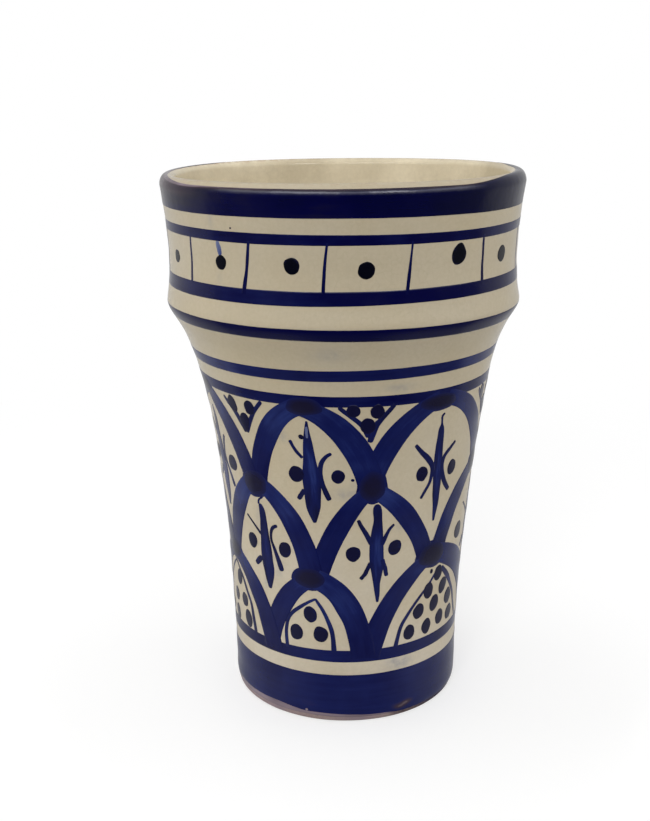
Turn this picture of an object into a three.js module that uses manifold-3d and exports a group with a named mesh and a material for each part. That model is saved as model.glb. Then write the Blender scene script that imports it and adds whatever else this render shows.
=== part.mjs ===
// Hand-painted earthenware tumbler: a thrown clay cup without a handle, coated with
// tin glaze inside and out, and brushed with dark blue rings, a row of dotted windows
// round the collar and a fish-scale net with leaf sprigs round the body.
// Millimetres, +Z up, origin at the centre of the foot, on the table.
// Angles are in degrees from the front (-Y) towards +X.

import * as THREE from 'three';
import { mergeVertices } from 'three/addons/utils/BufferGeometryUtils.js';
import Module from 'manifold-3d';

// Form of the cup
const HEIGHT = 135; // table to the top of the painted lip
const RIM_RADIUS = 44.6; // widest place, just under the lip
const RIDGE_INSET = 0.7; // shoulder ridge under the collar, set in from the rim
const NECK_RADIUS = 38.3; // where the body runs into the shoulder
const BASE_RADIUS = 29.5; // upright wall just above the foot
const SHOULDER_HEIGHT = 12.5; // neck to ridge
const FOOT_EDGE = 4.5; // height of the rounded edge of the foot
const FOOT_TUCK = 1.8; // standing edge set in from the base radius
const FOOT_RING = 8; // width of the flat ring that the cup stands on
const FOOT_RECESS = 1.2; // depth of the turned hollow inside that ring
const WALL = 4.2; // wall with both glazes
const FLOOR = 7; // thickness of the bottom
const FLOOR_FILLET = 9; // round between inner wall and bottom
const LIP_THICKNESS = 3.6; // across the rounded lip
const LIP_ROUND = 2.6; // height of the rounded lip

// How far the outline runs on before it turns
const BODY_RUN = 31.4; // upright above the foot
const NECK_RUN = 14.6; // below the neck
const NECK_LEAN = 0.31; // outward run of the wall at the neck for each unit up
const SHOULDER_RUN = 8.4; // above the neck
const RIDGE_UNDER = 2.2; // below the ridge
const RIDGE_OVER = 1.8; // above the ridge
const COLLAR_HOLLOW = 3.1; // pull of the collar's waist inside the rim radius
const COLLAR_RUN = 7.3; // height of that pull above the ridge
const INNER_EASE = 1; // inner wall passes the ridge this much slimmer

// Coats
const GLAZE = 0.4;
const PAINT = 0.15;
const PAINT_SEAT = 0.05; // clearance between paint and glaze
const BARE_FOOT = 1.2; // clay left unglazed above the table

// Painted bands of the collar, from the lip down to the ridge
const RIM_BAND = 7.2;
const RIM_PLAIN = 3.6;
const UPPER_LINE = 2.4;
const WINDOW_HEIGHT = 9.5;
const LOWER_LINE = 3.3;
const RIDGE_PLAIN = 5;

// Painted bands of the shoulder, from the ridge down
const SHOULDER_DROP = 0.2;
const SHOULDER_LINE = 3;
const SHOULDER_PLAIN = 7.3;
const WAIST_LINE = 2.8;
const WAIST_PLAIN = 3.7;

// Painted bands of the foot, from the table up
const FOOT_BAND_LOW = 2.4;
const FOOT_BAND = 10.8;
const FOOT_PLAIN = 3.7;

// Windows of the collar
const WINDOW_COUNT = 14;
const DIVIDER = 1.7;
const DOT_RADIUS = 1.9;
const WINDOW_TURN = 6.8; // angle of the window nearest the front

// Fish-scale net
const SCALE_COUNT = 6;
const SCALE_ROWS = 3;
const SCALE_TOP_LINE = 2.8;
const SCALE_BASE_LINE = 3.2;
const SCALE_TURN = -15; // angle of the front scale of the top row
const KNOT_WIDTH = 12; // paint left between neighbouring cells at a knot
const APEX_DROP = 3; // paint between a knot's middle and the cell under it
const TIP_RISE = 6.5; // paint between a knot's middle and the cell over it

// Bend of a cell's sides, as shares of its width and of its height
const BULGE = [0.85, 0.3]; // upper sides, outward
const PINCH = [0.25, 0.45]; // lower sides, inward

// Leaf sprig in a cell
const LEAF_WIDTH = 3.6;
const LEAF_GAP = 3.2; // from the leaf's ends to the cell's ends
const SPRIG_STROKE = 1.5; // thickness of a side stroke
const SPRIG_SPREAD = 4.2; // ends of a side stroke, out from the leaf's middle
const SPRIG_BITE = 0.5; // how far a side stroke runs into the leaf
const SPRIG_LENGTH = 15;

// Facets
const TURN_FACETS = 36;
const BODY_STEPS = 5;
const CURVE_STEPS = 4;
const ROUND_STEPS = 2; // foot edge, lip, inner bends
const CELL_STEPS = 3; // each curve of a cell's outline
const BRUSH_STEPS = 4; // each curve of a leaf, stroke or dot
const WELD = 1e-4;

// Radius and heights worked out from these sizes
const ridgeRadius = RIM_RADIUS - RIDGE_INSET;
const lipTop = HEIGHT - PAINT - PAINT_SEAT;
const rimBandLow = HEIGHT - RIM_BAND;
const ladderTop = rimBandLow - RIM_PLAIN;
const windowTop = ladderTop - UPPER_LINE;
const windowLow = windowTop - WINDOW_HEIGHT;
const ladderLow = windowLow - LOWER_LINE;
const ridgeHeight = ladderLow - RIDGE_PLAIN;
const neckHeight = ridgeHeight - SHOULDER_HEIGHT;
const shoulderTop = ridgeHeight - SHOULDER_DROP;
const shoulderLow = shoulderTop - SHOULDER_LINE;
const waistTop = shoulderLow - SHOULDER_PLAIN;
const waistLow = waistTop - WAIST_LINE;
const netTop = waistLow - WAIST_PLAIN;
const footBandTop = FOOT_BAND_LOW + FOOT_BAND;
const netLow = footBandTop + FOOT_PLAIN;
const rowsTop = netTop - SCALE_TOP_LINE;
const rowsLow = netLow + SCALE_BASE_LINE;
const rowHeight = (rowsTop - rowsLow) / SCALE_ROWS;

const wasm = await Module();
wasm.setup();

const point = (radius, height) => new THREE.Vector2(radius, height);

function joinCurves(steps) {
  const line = [];
  for (const [curve, count] of steps) {
    const fresh = curve.getPoints(count);
    line.push(...(line.length ? fresh.slice(1) : fresh));
  }
  return line;
}

// Outside of the glaze, from its lower edge at the foot up to the crest of the lip
function outsideLine() {
  const footRadius = BASE_RADIUS - FOOT_TUCK;
  const lipFoot = lipTop - LIP_ROUND;
  const footEdge = new THREE.QuadraticBezierCurve(
    point(footRadius + FOOT_TUCK / 2, BARE_FOOT),
    point(BASE_RADIUS, BARE_FOOT + FOOT_TUCK / 2),
    point(BASE_RADIUS, FOOT_EDGE),
  );
  const body = new THREE.CubicBezierCurve(
    point(BASE_RADIUS, FOOT_EDGE),
    point(BASE_RADIUS, FOOT_EDGE + BODY_RUN),
    point(NECK_RADIUS - NECK_LEAN * NECK_RUN, neckHeight - NECK_RUN),
    point(NECK_RADIUS, neckHeight),
  );
  const shoulder = new THREE.CubicBezierCurve(
    point(NECK_RADIUS, neckHeight),
    point(NECK_RADIUS + NECK_LEAN * SHOULDER_RUN, neckHeight + SHOULDER_RUN),
    point(ridgeRadius, ridgeHeight - RIDGE_UNDER),
    point(ridgeRadius, ridgeHeight),
  );
  const collar = new THREE.CubicBezierCurve(
    point(ridgeRadius, ridgeHeight),
    point(ridgeRadius, ridgeHeight + RIDGE_OVER),
    point(RIM_RADIUS - COLLAR_HOLLOW, ridgeHeight + COLLAR_RUN),
    point(RIM_RADIUS, lipFoot),
  );
  const lip = new THREE.EllipseCurve(
    RIM_RADIUS - LIP_THICKNESS / 2, lipFoot, LIP_THICKNESS / 2, LIP_ROUND, 0, Math.PI / 2,
  );
  return joinCurves([
    [footEdge, ROUND_STEPS], [body, BODY_STEPS], [shoulder, CURVE_STEPS],
    [collar, CURVE_STEPS], [lip, ROUND_STEPS],
  ]);
}

// Inside of the glaze, from the crest of the lip down to the middle of the bottom
function insideLine() {
  const lipFoot = lipTop - LIP_ROUND;
  const innerBase = BASE_RADIUS - WALL;
  const innerNeck = NECK_RADIUS - WALL;
  const innerRidge = ridgeRadius - WALL - INNER_EASE;
  const lip = new THREE.EllipseCurve(
    RIM_RADIUS - LIP_THICKNESS / 2, lipFoot, LIP_THICKNESS / 2, LIP_ROUND, Math.PI / 2, Math.PI,
  );
  const collar = new THREE.QuadraticBezierCurve(
    point(RIM_RADIUS - LIP_THICKNESS, lipFoot),
    point(innerRidge, ridgeHeight + COLLAR_RUN),
    point(innerRidge, ridgeHeight),
  );
  const shoulder = new THREE.CubicBezierCurve(
    point(innerRidge, ridgeHeight),
    point(innerRidge, ridgeHeight - SHOULDER_HEIGHT / 2),
    point(innerNeck + NECK_LEAN * RIDGE_UNDER, neckHeight + RIDGE_UNDER),
    point(innerNeck, neckHeight),
  );
  const body = new THREE.CubicBezierCurve(
    point(innerNeck, neckHeight),
    point(innerNeck - NECK_LEAN * NECK_RUN, neckHeight - NECK_RUN),
    point(innerBase, FOOT_EDGE + BODY_RUN),
    point(innerBase, FLOOR + FLOOR_FILLET),
  );
  const fillet = new THREE.QuadraticBezierCurve(
    point(innerBase, FLOOR + FLOOR_FILLET),
    point(innerBase, FLOOR),
    point(innerBase - FLOOR_FILLET, FLOOR),
  );
  const bottom = new THREE.LineCurve(point(innerBase - FLOOR_FILLET, FLOOR), point(0, FLOOR));
  return joinCurves([
    [lip, ROUND_STEPS], [collar, ROUND_STEPS], [shoulder, ROUND_STEPS],
    [body, CURVE_STEPS], [fillet, ROUND_STEPS], [bottom, 1],
  ]);
}

// A line moved square to itself, outward for a positive distance
function offsetLine(line, distance) {
  return line.map((here, index) => {
    const before = line[Math.max(index - 1, 0)];
    const after = line[Math.min(index + 1, line.length - 1)];
    const along = after.clone().sub(before).normalize();
    const moved = point(here.x + along.y * distance, here.y - along.x * distance);
    return here.x === 0 ? point(0, moved.y) : moved;
  });
}

// The stretch of a rising line between two heights, with its ends cut level
function between(line, low, high) {
  const stretch = [];
  for (let index = 0; index < line.length - 1; index += 1) {
    const [here, next] = [line[index], line[index + 1]];
    for (const cut of [low, high]) {
      if (here.y < cut && cut < next.y) {
        stretch.push(here.clone().lerp(next, (cut - here.y) / (next.y - here.y)));
      }
    }
    if (next.y >= low && next.y <= high) {
      stretch.push(next);
    }
  }
  return stretch.sort((a, b) => a.y - b.y);
}

const outside = outsideLine();
const crest = outside.length - 1;
const glazeFace = [...outside, ...insideLine().slice(1)];
const clayFace = offsetLine(glazeFace, -GLAZE);
const paintSeat = offsetLine(glazeFace, PAINT_SEAT).slice(0, crest + 1);
const paintFace = offsetLine(glazeFace, PAINT_SEAT + PAINT).slice(0, crest + 1);

function radiusAt(height) {
  return between(outside, height, height)[0].x;
}

function weld(geometry) {
  geometry.deleteAttribute('normal');
  geometry.deleteAttribute('uv');
  return mergeVertices(geometry, WELD);
}

function turned(profile) {
  return weld(new THREE.LatheGeometry(profile, TURN_FACETS).rotateX(Math.PI / 2));
}

function turnedBand(outer, inner) {
  return turned([...outer, ...[...inner].reverse(), outer[0]]);
}

function paintRing(low, high) {
  return turnedBand(between(paintFace, low, high), between(paintSeat, low, high));
}

function toSolid(geometry) {
  return new wasm.Manifold(new wasm.Mesh({
    numProp: 3,
    vertProperties: new Float32Array(geometry.attributes.position.array),
    triVerts: new Uint32Array(geometry.index.array),
  }));
}

function fromSolid(solid) {
  const mesh = solid.getMesh();
  const geometry = new THREE.BufferGeometry();
  geometry.setAttribute('position', new THREE.Float32BufferAttribute(mesh.vertProperties, 3));
  geometry.setIndex(Array.from(mesh.triVerts));
  return geometry;
}

// An outline drawn on the cup's tangent plane, pushed out from the axis through the wall
function stamp(shape, turn, steps) {
  const depth = Math.max(RIM_RADIUS, ridgeRadius, NECK_RADIUS, BASE_RADIUS) + WALL;
  const options = { depth, bevelEnabled: false, curveSegments: steps };
  const geometry = new THREE.ExtrudeGeometry(shape, options);
  geometry.rotateX(Math.PI / 2);
  geometry.rotateZ(THREE.MathUtils.degToRad(turn));
  return toSolid(weld(geometry));
}

const halfChord = (height, count) => radiusAt(height) * Math.sin(Math.PI / count);

function windowShape() {
  const middle = (windowTop + windowLow) / 2;
  const half = halfChord(middle, WINDOW_COUNT) - DIVIDER / 2;
  const shape = new THREE.Shape();
  shape.moveTo(-half, windowLow);
  shape.lineTo(half, windowLow);
  shape.lineTo(half, windowTop);
  shape.lineTo(-half, windowTop);
  shape.closePath();
  return shape;
}

function dotShape() {
  const shape = new THREE.Shape();
  shape.absarc(0, (windowTop + windowLow) / 2, DOT_RADIUS, 0, Math.PI * 2);
  return shape;
}

// Control point of a side that runs from one height down to another
const sideBend = (half, top, low, bend) => [half * bend[0], top + (low - top) * bend[1]];

// Cream cell: knot over it at height top, its corners at wide and its lower tip at low
function cellShape(top, wide, low) {
  const half = halfChord(wide, SCALE_COUNT) - KNOT_WIDTH / 2;
  const [upperX, upperY] = sideBend(half, top, wide, BULGE);
  const [lowerX, lowerY] = sideBend(half, wide, low, PINCH);
  const shape = new THREE.Shape();
  shape.moveTo(0, low);
  shape.quadraticCurveTo(lowerX, lowerY, half, wide);
  shape.quadraticCurveTo(upperX, upperY, 0, top);
  shape.quadraticCurveTo(-upperX, upperY, -half, wide);
  shape.quadraticCurveTo(-lowerX, lowerY, 0, low);
  return shape;
}

// Half cells: hanging point under the top line, dome on the base line
function pendantShape(top, low) {
  const half = halfChord(top, SCALE_COUNT) - KNOT_WIDTH / 2;
  const [bendX, bendY] = sideBend(half, top, low, PINCH);
  const shape = new THREE.Shape();
  shape.moveTo(0, low);
  shape.quadraticCurveTo(bendX, bendY, half, top);
  shape.lineTo(-half, top);
  shape.quadraticCurveTo(-bendX, bendY, 0, low);
  return shape;
}

function domeShape(top, low) {
  const half = halfChord(low, SCALE_COUNT) - KNOT_WIDTH / 2;
  const [bendX, bendY] = sideBend(half, top, low, BULGE);
  const shape = new THREE.Shape();
  shape.moveTo(-half, low);
  shape.lineTo(half, low);
  shape.quadraticCurveTo(bendX, bendY, 0, top);
  shape.quadraticCurveTo(-bendX, bendY, -half, low);
  return shape;
}

function leafShape(top, low) {
  const middle = (top + low) / 2;
  const shape = new THREE.Shape();
  shape.moveTo(0, low);
  shape.quadraticCurveTo(LEAF_WIDTH, middle, 0, top);
  shape.quadraticCurveTo(-LEAF_WIDTH, middle, 0, low);
  return shape;
}

// Side stroke of a sprig: a crescent whose belly runs into the leaf
function strokeShape(middle, side) {
  const belly = LEAF_WIDTH / 2 - SPRIG_BITE;
  const innerPull = side * (2 * belly - SPRIG_SPREAD);
  const outerPull = side * (2 * (belly + SPRIG_STROKE) - SPRIG_SPREAD);
  const [top, low] = [middle + SPRIG_LENGTH / 2, middle - SPRIG_LENGTH / 2];
  const shape = new THREE.Shape();
  shape.moveTo(side * SPRIG_SPREAD, low);
  shape.quadraticCurveTo(outerPull, middle, side * SPRIG_SPREAD, top);
  shape.quadraticCurveTo(innerPull, middle, side * SPRIG_SPREAD, low);
  return shape;
}

const cells = [];
for (let row = 0; row < SCALE_ROWS - 1; row += 1) {
  const knot = rowsTop - row * rowHeight;
  const wide = knot - rowHeight;
  cells.push({ row, top: knot - APEX_DROP, wide, low: wide - rowHeight + TIP_RISE });
}

const scalePitch = 360 / SCALE_COUNT;
const scaleTurn = (row, column) => SCALE_TURN + (column + (row % 2) / 2) * scalePitch;
const windowTurn = (index) => WINDOW_TURN + (index * 360) / WINDOW_COUNT;

function collarLadder() {
  const shape = windowShape();
  let ladder = toSolid(paintRing(ladderLow, ladderTop));
  for (let index = 0; index < WINDOW_COUNT; index += 1) {
    ladder = ladder.subtract(stamp(shape, windowTurn(index), CELL_STEPS));
  }
  return fromSolid(ladder);
}

function scaleNet() {
  const lastRow = SCALE_ROWS - 1;
  const pendant = pendantShape(rowsTop, rowsTop - rowHeight + TIP_RISE);
  const dome = domeShape(rowsLow + rowHeight - APEX_DROP, rowsLow);
  let net = toSolid(paintRing(netLow, netTop));
  for (let column = 0; column < SCALE_COUNT; column += 1) {
    net = net.subtract(stamp(pendant, scaleTurn(1, column), CELL_STEPS));
    net = net.subtract(stamp(dome, scaleTurn(lastRow, column), CELL_STEPS));
    for (const { row, top, wide, low } of cells) {
      const cell = cellShape(top, wide, low);
      net = net.subtract(stamp(cell, scaleTurn(row, column), CELL_STEPS));
    }
  }
  return fromSolid(net);
}

function leafSprig(top, low, turn) {
  const middle = (top + low) / 2;
  const sprig = stamp(leafShape(top, low), turn, BRUSH_STEPS)
    .add(stamp(strokeShape(middle, 1), turn, BRUSH_STEPS))
    .add(stamp(strokeShape(middle, -1), turn, BRUSH_STEPS));
  return fromSolid(toSolid(paintRing(rowsLow, rowsTop)).intersect(sprig));
}

function collarDot(turn) {
  const dot = stamp(dotShape(), turn, BRUSH_STEPS);
  return fromSolid(toSolid(paintRing(windowLow, windowTop)).intersect(dot));
}

const standing = BASE_RADIUS - FOOT_TUCK;
const clayProfile = [
  point(0, FOOT_RECESS),
  point(standing - FOOT_RING - FOOT_RECESS, FOOT_RECESS),
  point(standing - FOOT_RING, 0),
  point(standing, 0),
  ...clayFace,
];
const innerGlazeProfile = [...clayFace.slice(crest).reverse(), ...glazeFace.slice(crest)];

const clay = { color: 0xc9a27e, roughness: 0.9, metalness: 0 };
const creamGlaze = { color: 0xcfc4a8, roughness: 0.25, metalness: 0 };
const blueBand = { color: 0x14134f, roughness: 0.25, metalness: 0 };
const blueBrush = { color: 0x1b2468, roughness: 0.25, metalness: 0 };
const blueBlack = { color: 0x14132e, roughness: 0.25, metalness: 0 };

const tumbler = new THREE.Group();

function addPiece(name, geometry, finish) {
  const piece = new THREE.Mesh(geometry, new THREE.MeshStandardMaterial(finish));
  piece.name = name;
  tumbler.add(piece);
}

const serial = (index) => String(index + 1).padStart(2, '0');

addPiece('clay_body', turned(clayProfile), clay);
addPiece('outer_glaze', turnedBand(outside, clayFace.slice(0, crest + 1)), creamGlaze);
addPiece('inner_glaze', turned(innerGlazeProfile), creamGlaze);
addPiece('rim_band', paintRing(rimBandLow, HEIGHT), blueBand);
addPiece('collar_ladder', collarLadder(), blueBrush);
addPiece('shoulder_line', paintRing(shoulderLow, shoulderTop), blueBrush);
addPiece('waist_line', paintRing(waistLow, waistTop), blueBrush);
addPiece('scale_net', scaleNet(), blueBrush);
addPiece('foot_band', paintRing(FOOT_BAND_LOW, footBandTop), blueBand);

for (let index = 0; index < WINDOW_COUNT; index += 1) {
  addPiece(`collar_dot_${serial(index)}`, collarDot(windowTurn(index)), blueBlack);
}

for (const { row, top, low } of cells) {
  for (let column = 0; column < SCALE_COUNT; column += 1) {
    const name = `sprig_${serial(row * SCALE_COUNT + column)}`;
    const sprig = leafSprig(top - LEAF_GAP, low + LEAF_GAP, scaleTurn(row, column));
    addPiece(name, sprig, blueBlack);
  }
}

export default tumbler;
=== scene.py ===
"""Finish of a hand-painted earthenware tumbler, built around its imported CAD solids.

Every length is in metres. A place on the pot is a turn, in degrees to the right of the front, and a
height above the table in millimetres.
"""

import math
from collections import namedtuple

import bpy
import numpy as np
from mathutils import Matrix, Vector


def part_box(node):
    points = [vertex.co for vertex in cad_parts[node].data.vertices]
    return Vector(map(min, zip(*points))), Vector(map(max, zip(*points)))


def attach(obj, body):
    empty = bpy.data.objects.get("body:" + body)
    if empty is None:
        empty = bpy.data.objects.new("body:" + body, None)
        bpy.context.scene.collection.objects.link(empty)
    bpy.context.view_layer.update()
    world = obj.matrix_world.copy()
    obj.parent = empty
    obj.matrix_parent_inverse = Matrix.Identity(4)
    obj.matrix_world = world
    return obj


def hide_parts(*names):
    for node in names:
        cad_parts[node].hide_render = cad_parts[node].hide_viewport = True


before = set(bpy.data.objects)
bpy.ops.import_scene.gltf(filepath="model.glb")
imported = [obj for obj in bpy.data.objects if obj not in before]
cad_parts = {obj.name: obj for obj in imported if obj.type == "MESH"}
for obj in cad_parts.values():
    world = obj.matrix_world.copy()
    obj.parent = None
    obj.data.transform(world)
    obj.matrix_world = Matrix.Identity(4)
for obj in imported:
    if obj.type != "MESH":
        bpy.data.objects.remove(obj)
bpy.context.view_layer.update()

bl_info = {
    "name": "Painted Earthenware Tumbler",
    "version": (1, 0, 0),
    "blender": (4, 5, 0),
    "location": "3D View > Sidebar > Tumbler",
    "description": "Glazes and paints a thrown tumbler around its CAD solids",
    "category": "Add Mesh",
}

TURN = 2 * math.pi

# Points round the pot and their turns in radians, and finer outline points between two rows
COLUMNS = 240
AROUND = np.arange(COLUMNS) * TURN / COLUMNS
FINE = 8
# Handle of a Bezier quarter circle as a share of its radius
ARC = 0.5523
# The clay needs only every 4th row of the outline, and the hidden back of a glaze every 6th
CLAY_STEP = 4
BACK_STEP = 6
# Faces that meet at a wider angle keep a sharp edge
SHARP = math.radians(60)

# A stroke is a row of (turn, height, width) points that it runs through, the width in millimetres.
# A dab is (turn, height, wide, tall, lean), the lean in degrees to the left of upright
Sprig = namedtuple("Sprig", "leaf strokes dabs")
Marks = namedtuple("Marks", "strokes dabs")

# The net's knots from the top row down, as (turn, height); the arms of each row end at the next
NET_KNOTS = (
    ((-69.5, 84.2), (-16.9, 84.2), (40.4, 84.4), (103, 84.2), (165.5, 84.2), (228, 84.2)),
    ((-41.9, 63.0), (10.4, 63.1), (75, 63.5), (138, 63.4), (195.5, 62.8), (257, 63.1)),
    ((-67, 40.6), (-14.4, 39.4), (43.3, 42.9), (114, 41), (170, 40.2), (230, 41)),
    ((-40.5, 19), (10.3, 19), (90, 19), (144, 19), (200, 19), (257.5, 19)),
)
# Arms that leave the common curve, by (row, knot, side): how far the start, the bow and the end are
# shifted, in shares of the way to the next knot
ARM_SHIFTS = {
    (0, 0, 1): (0, -0.14, 0.02),
    (0, 1, -1): (0, 0.03, 0),
    (0, 1, 1): (0, 0.06, 0.09),
    (0, 2, -1): (0.08, 0.12, 0.13),
    (0, 2, 1): (0, 0.06, 0.06),
    (1, 0, -1): (0, -0.03, 0),
    (1, 0, 1): (0, 0.05, 0.05),
    (1, 1, -1): (0, -0.13, 0.04),
    (1, 1, 1): (0, -0.14, -0.07),
    (1, 2, -1): (0, 0.02, 0),
    (2, 0, 1): (0, 0.16, 0.18),
    (2, 1, -1): (0, 0.03, 0.01),
    (2, 1, 1): (0, 0.09, 0),
    (2, 2, -1): (0, 0, 0.05),
    (2, 2, 1): (0, 0.03, 0.1),
}
# Arms whose width strays from the common one, as shares of it at the knot and in full
ARM_WIDTHS = {
    (0, 1, 1): (0.84, 1.14),
    (1, 1, -1): (0.72, 0.92),
    (1, 1, 1): (0.72, 0.92),
    (2, 1, -1): (0.76, 0.9),
    (2, 1, 1): (0.95, 1.04),
    (2, 2, 1): (0.95, 1.15),
}
# Dark dabs on the knots that can be seen
KNOT_DABS = {
    (0, 1): (-16.0, 84.0, 10.4, 5.4, 0),
    (0, 2): (37.8, 83.8, 12.8, 5.0, 0),
    (1, 0): (-41.9, 62.0, 9.6, 8.0, 0),
    (1, 1): (10.4, 64.2, 7.8, 9.6, 0),
    (2, 1): (-17.2, 39.3, 10.2, 6.7, 0),
    (2, 2): (42.8, 42.8, 11.8, 8.0, 0),
}

# Hands that painted the sprigs. Turns count from the knot over the sprig
SPRIG_HANDS = {
    "looped": Sprig(
        (
            (2.2, 80.8, 0.5), (1.9, 77.7, 1.7), (1.9, 74, 2.8), (2.6, 69, 3.9), (3, 64, 4.3),
            (2.9, 60, 4.1), (2.8, 57.5, 3.2), (3.2, 54.2, 0.7),
        ),
        (
            ((-5.4, 75.5, 0.7), (-4.3, 74, 0.75), (-2.7, 72.5, 0.8), (-0.5, 71, 0.8)),
            ((-0.4, 63, 1), (-2.2, 61.4, 1.15), (-3.7, 60.2, 1.15)),
            (
                (11.2, 72.7, 0.75), (8.9, 71.7, 0.9), (7.1, 70, 0.95), (6.4, 67.6, 0.95), (7, 65.1, 1),
                (8.3, 62.5, 1.1), (9.9, 60.4, 1.1),
            ),
        ),
        ((-3.7, 66.7, 3.9, 4.1, 0), (13.5, 66.7, 3.2, 3.5, 0), (-0.5, 76.5, 1.4, 1.2, 0)),
    ),
    "steep": Sprig(
        (
            (0.4, 79, 0.6), (0.6, 75.5, 2.2), (0.9, 71, 3.4), (1.3, 66.3, 4.1), (2.4, 62.5, 4.3),
            (2.8, 58.5, 3.8), (2.7, 55.5, 2.8), (2.8, 52.2, 0.8),
        ),
        (
            ((-6, 74.5, 0.8), (-3.5, 72.5, 0.9), (-1, 70.5, 0.9)),
            ((-1, 62.5, 1), (-3, 60.8, 1.1), (-5, 59.5, 1)),
            (
                (8, 72, 0.8), (6.4, 70, 0.95), (5.5, 67.2, 1), (6.4, 64.8, 1), (9.2, 61.6, 1.1),
                (11.7, 58.6, 1.1),
            ),
        ),
        ((-5.5, 65.8, 3.6, 4, 0), (12.3, 65.3, 4.2, 4.1, 8)),
    ),
    "slim": Sprig(
        (
            (-1, 79.6, 0.8), (-0.7, 77.8, 0.7), (-0.6, 76.3, 2), (-0.1, 73.8, 2.5), (0, 69.8, 3),
            (0.5, 65.8, 3.2), (0.6, 62.7, 3.1), (0.7, 59.6, 2.6), (1, 56.5, 1.8), (0.8, 51.8, 0.6),
        ),
        (
            ((0.6, 80.2, 0.5), (-0.2, 80, 0.6), (-1.1, 79.4, 0.7)),
            (
                (-12.6, 73.6, 0.65), (-9.3, 71.3, 1), (-5.8, 69.1, 1.3), (-3.1, 66.8, 1.2), (-3, 64.6, 1),
                (-3.7, 62.7, 0.9), (-5.7, 60.7, 0.9), (-7.7, 58.9, 0.8),
            ),
            (
                (9.7, 72, 0.65), (6.4, 70.5, 0.95), (3.5, 68.9, 1.1), (2.7, 66.8, 1.1), (3.4, 64.5, 1.1),
                (5.2, 62, 1.2), (9, 59.1, 1.1),
            ),
        ),
        ((-8.1, 65.4, 3.3, 3.9, -10), (9.3, 65.2, 3.2, 4, -10)),
    ),
    "slanted": Sprig(
        (
            (1.1, 57, 1.1), (2.1, 55.2, 2.1), (2.4, 52.4, 2.4), (2.4, 48.5, 3.3), (2.9, 44, 4),
            (3.4, 41, 3.8), (3.9, 39.2, 3.3), (4.1, 37, 2.5), (4, 34.1, 0.8),
        ),
        (
            ((3.5, 59, 0.4), (1, 57.9, 0.45), (0.6, 56.6, 0.55)),
            ((-8.4, 52.9, 0.45), (-5.2, 51.4, 0.55), (-1.9, 49.7, 0.7), (0.4, 48.4, 0.7)),
            ((-0.3, 42.4, 1.05), (-2.6, 41.1, 1.2), (-4.9, 39.9, 1.1)),
            (
                (10.2, 52.1, 0.7), (7.7, 51.3, 0.85), (6.4, 49.9, 0.75), (6.2, 47.8, 0.7),
                (7.7, 45.5, 0.85), (9.9, 42.3, 1.2), (11.4, 39.8, 1.2),
            ),
        ),
        ((-5.9, 46.1, 3.4, 4.1, 10), (13.4, 45.9, 3.5, 4.1, 0)),
    ),
    "headed": Sprig(
        (
            (2.4, 59.4, 1.6), (2.6, 57.6, 2.5), (2.9, 55, 2.4), (2.8, 51.9, 3.1), (2.7, 47, 3.6),
            (2.8, 43.5, 3.7), (3.1, 41, 3.1), (3.4, 38.1, 2), (4, 35, 1.3), (4.2, 32.8, 0.6),
        ),
        (
            ((-5.8, 55.5, 0.8), (-3.9, 53.3, 0.95), (-2, 51.5, 1.05), (0.4, 48.6, 1)),
            ((0.4, 44.1, 0.95), (-2.1, 40.9, 0.9), (-4.2, 39.4, 0.85)),
            ((10.4, 53.6, 0.6), (8.1, 52.3, 0.75), (6.6, 50.7, 0.8), (5, 48.2, 0.8)),
            ((5.4, 44.7, 0.95), (7.2, 41.6, 1), (8.1, 39.7, 0.9)),
        ),
        ((-7.4, 46.4, 3.6, 4, 0), (10.9, 47.4, 3.4, 4.1, -14)),
    ),
}
# As slanted, with its left dot further off
SPRIG_HANDS["apart"] = SPRIG_HANDS["slanted"]._replace(
    dabs=((-11.2, 45.8, 4.2, 4.6, 5), (13.4, 45.9, 3.5, 4.1, 0))
)
# The hand in each cell, upper row and lower row
SPRIGS = (
    ("steep", "looped", "slim", "steep", "looped", "slim"),
    ("slanted", "headed", "apart", "headed", "slanted", "headed"),
)

# Collar dividers as (turn at the top, turn at the foot), and the dots of the windows that can be seen
DIVIDERS = ((-53.0, -53.7), (-28.1, -30.6), (-4.1, -5.7), (20.4, 18.8), (46.6, 46.8), (74, 74))
COLLAR_DOTS = (
    (-64.2, 116.6, 3.3, 3.1, 0),
    (-39, 117.2, 3.2, 3.4, -8),
    (-15, 117.4, 3.5, 3.8, 0),
    (6.8, 116.7, 3.7, 3.8, -20),
    (36.6, 118.7, 4.1, 4.7, -14),
    (57.5, 117.2, 3.8, 3.9, -5),
)
WINDOWS = 14

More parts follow.
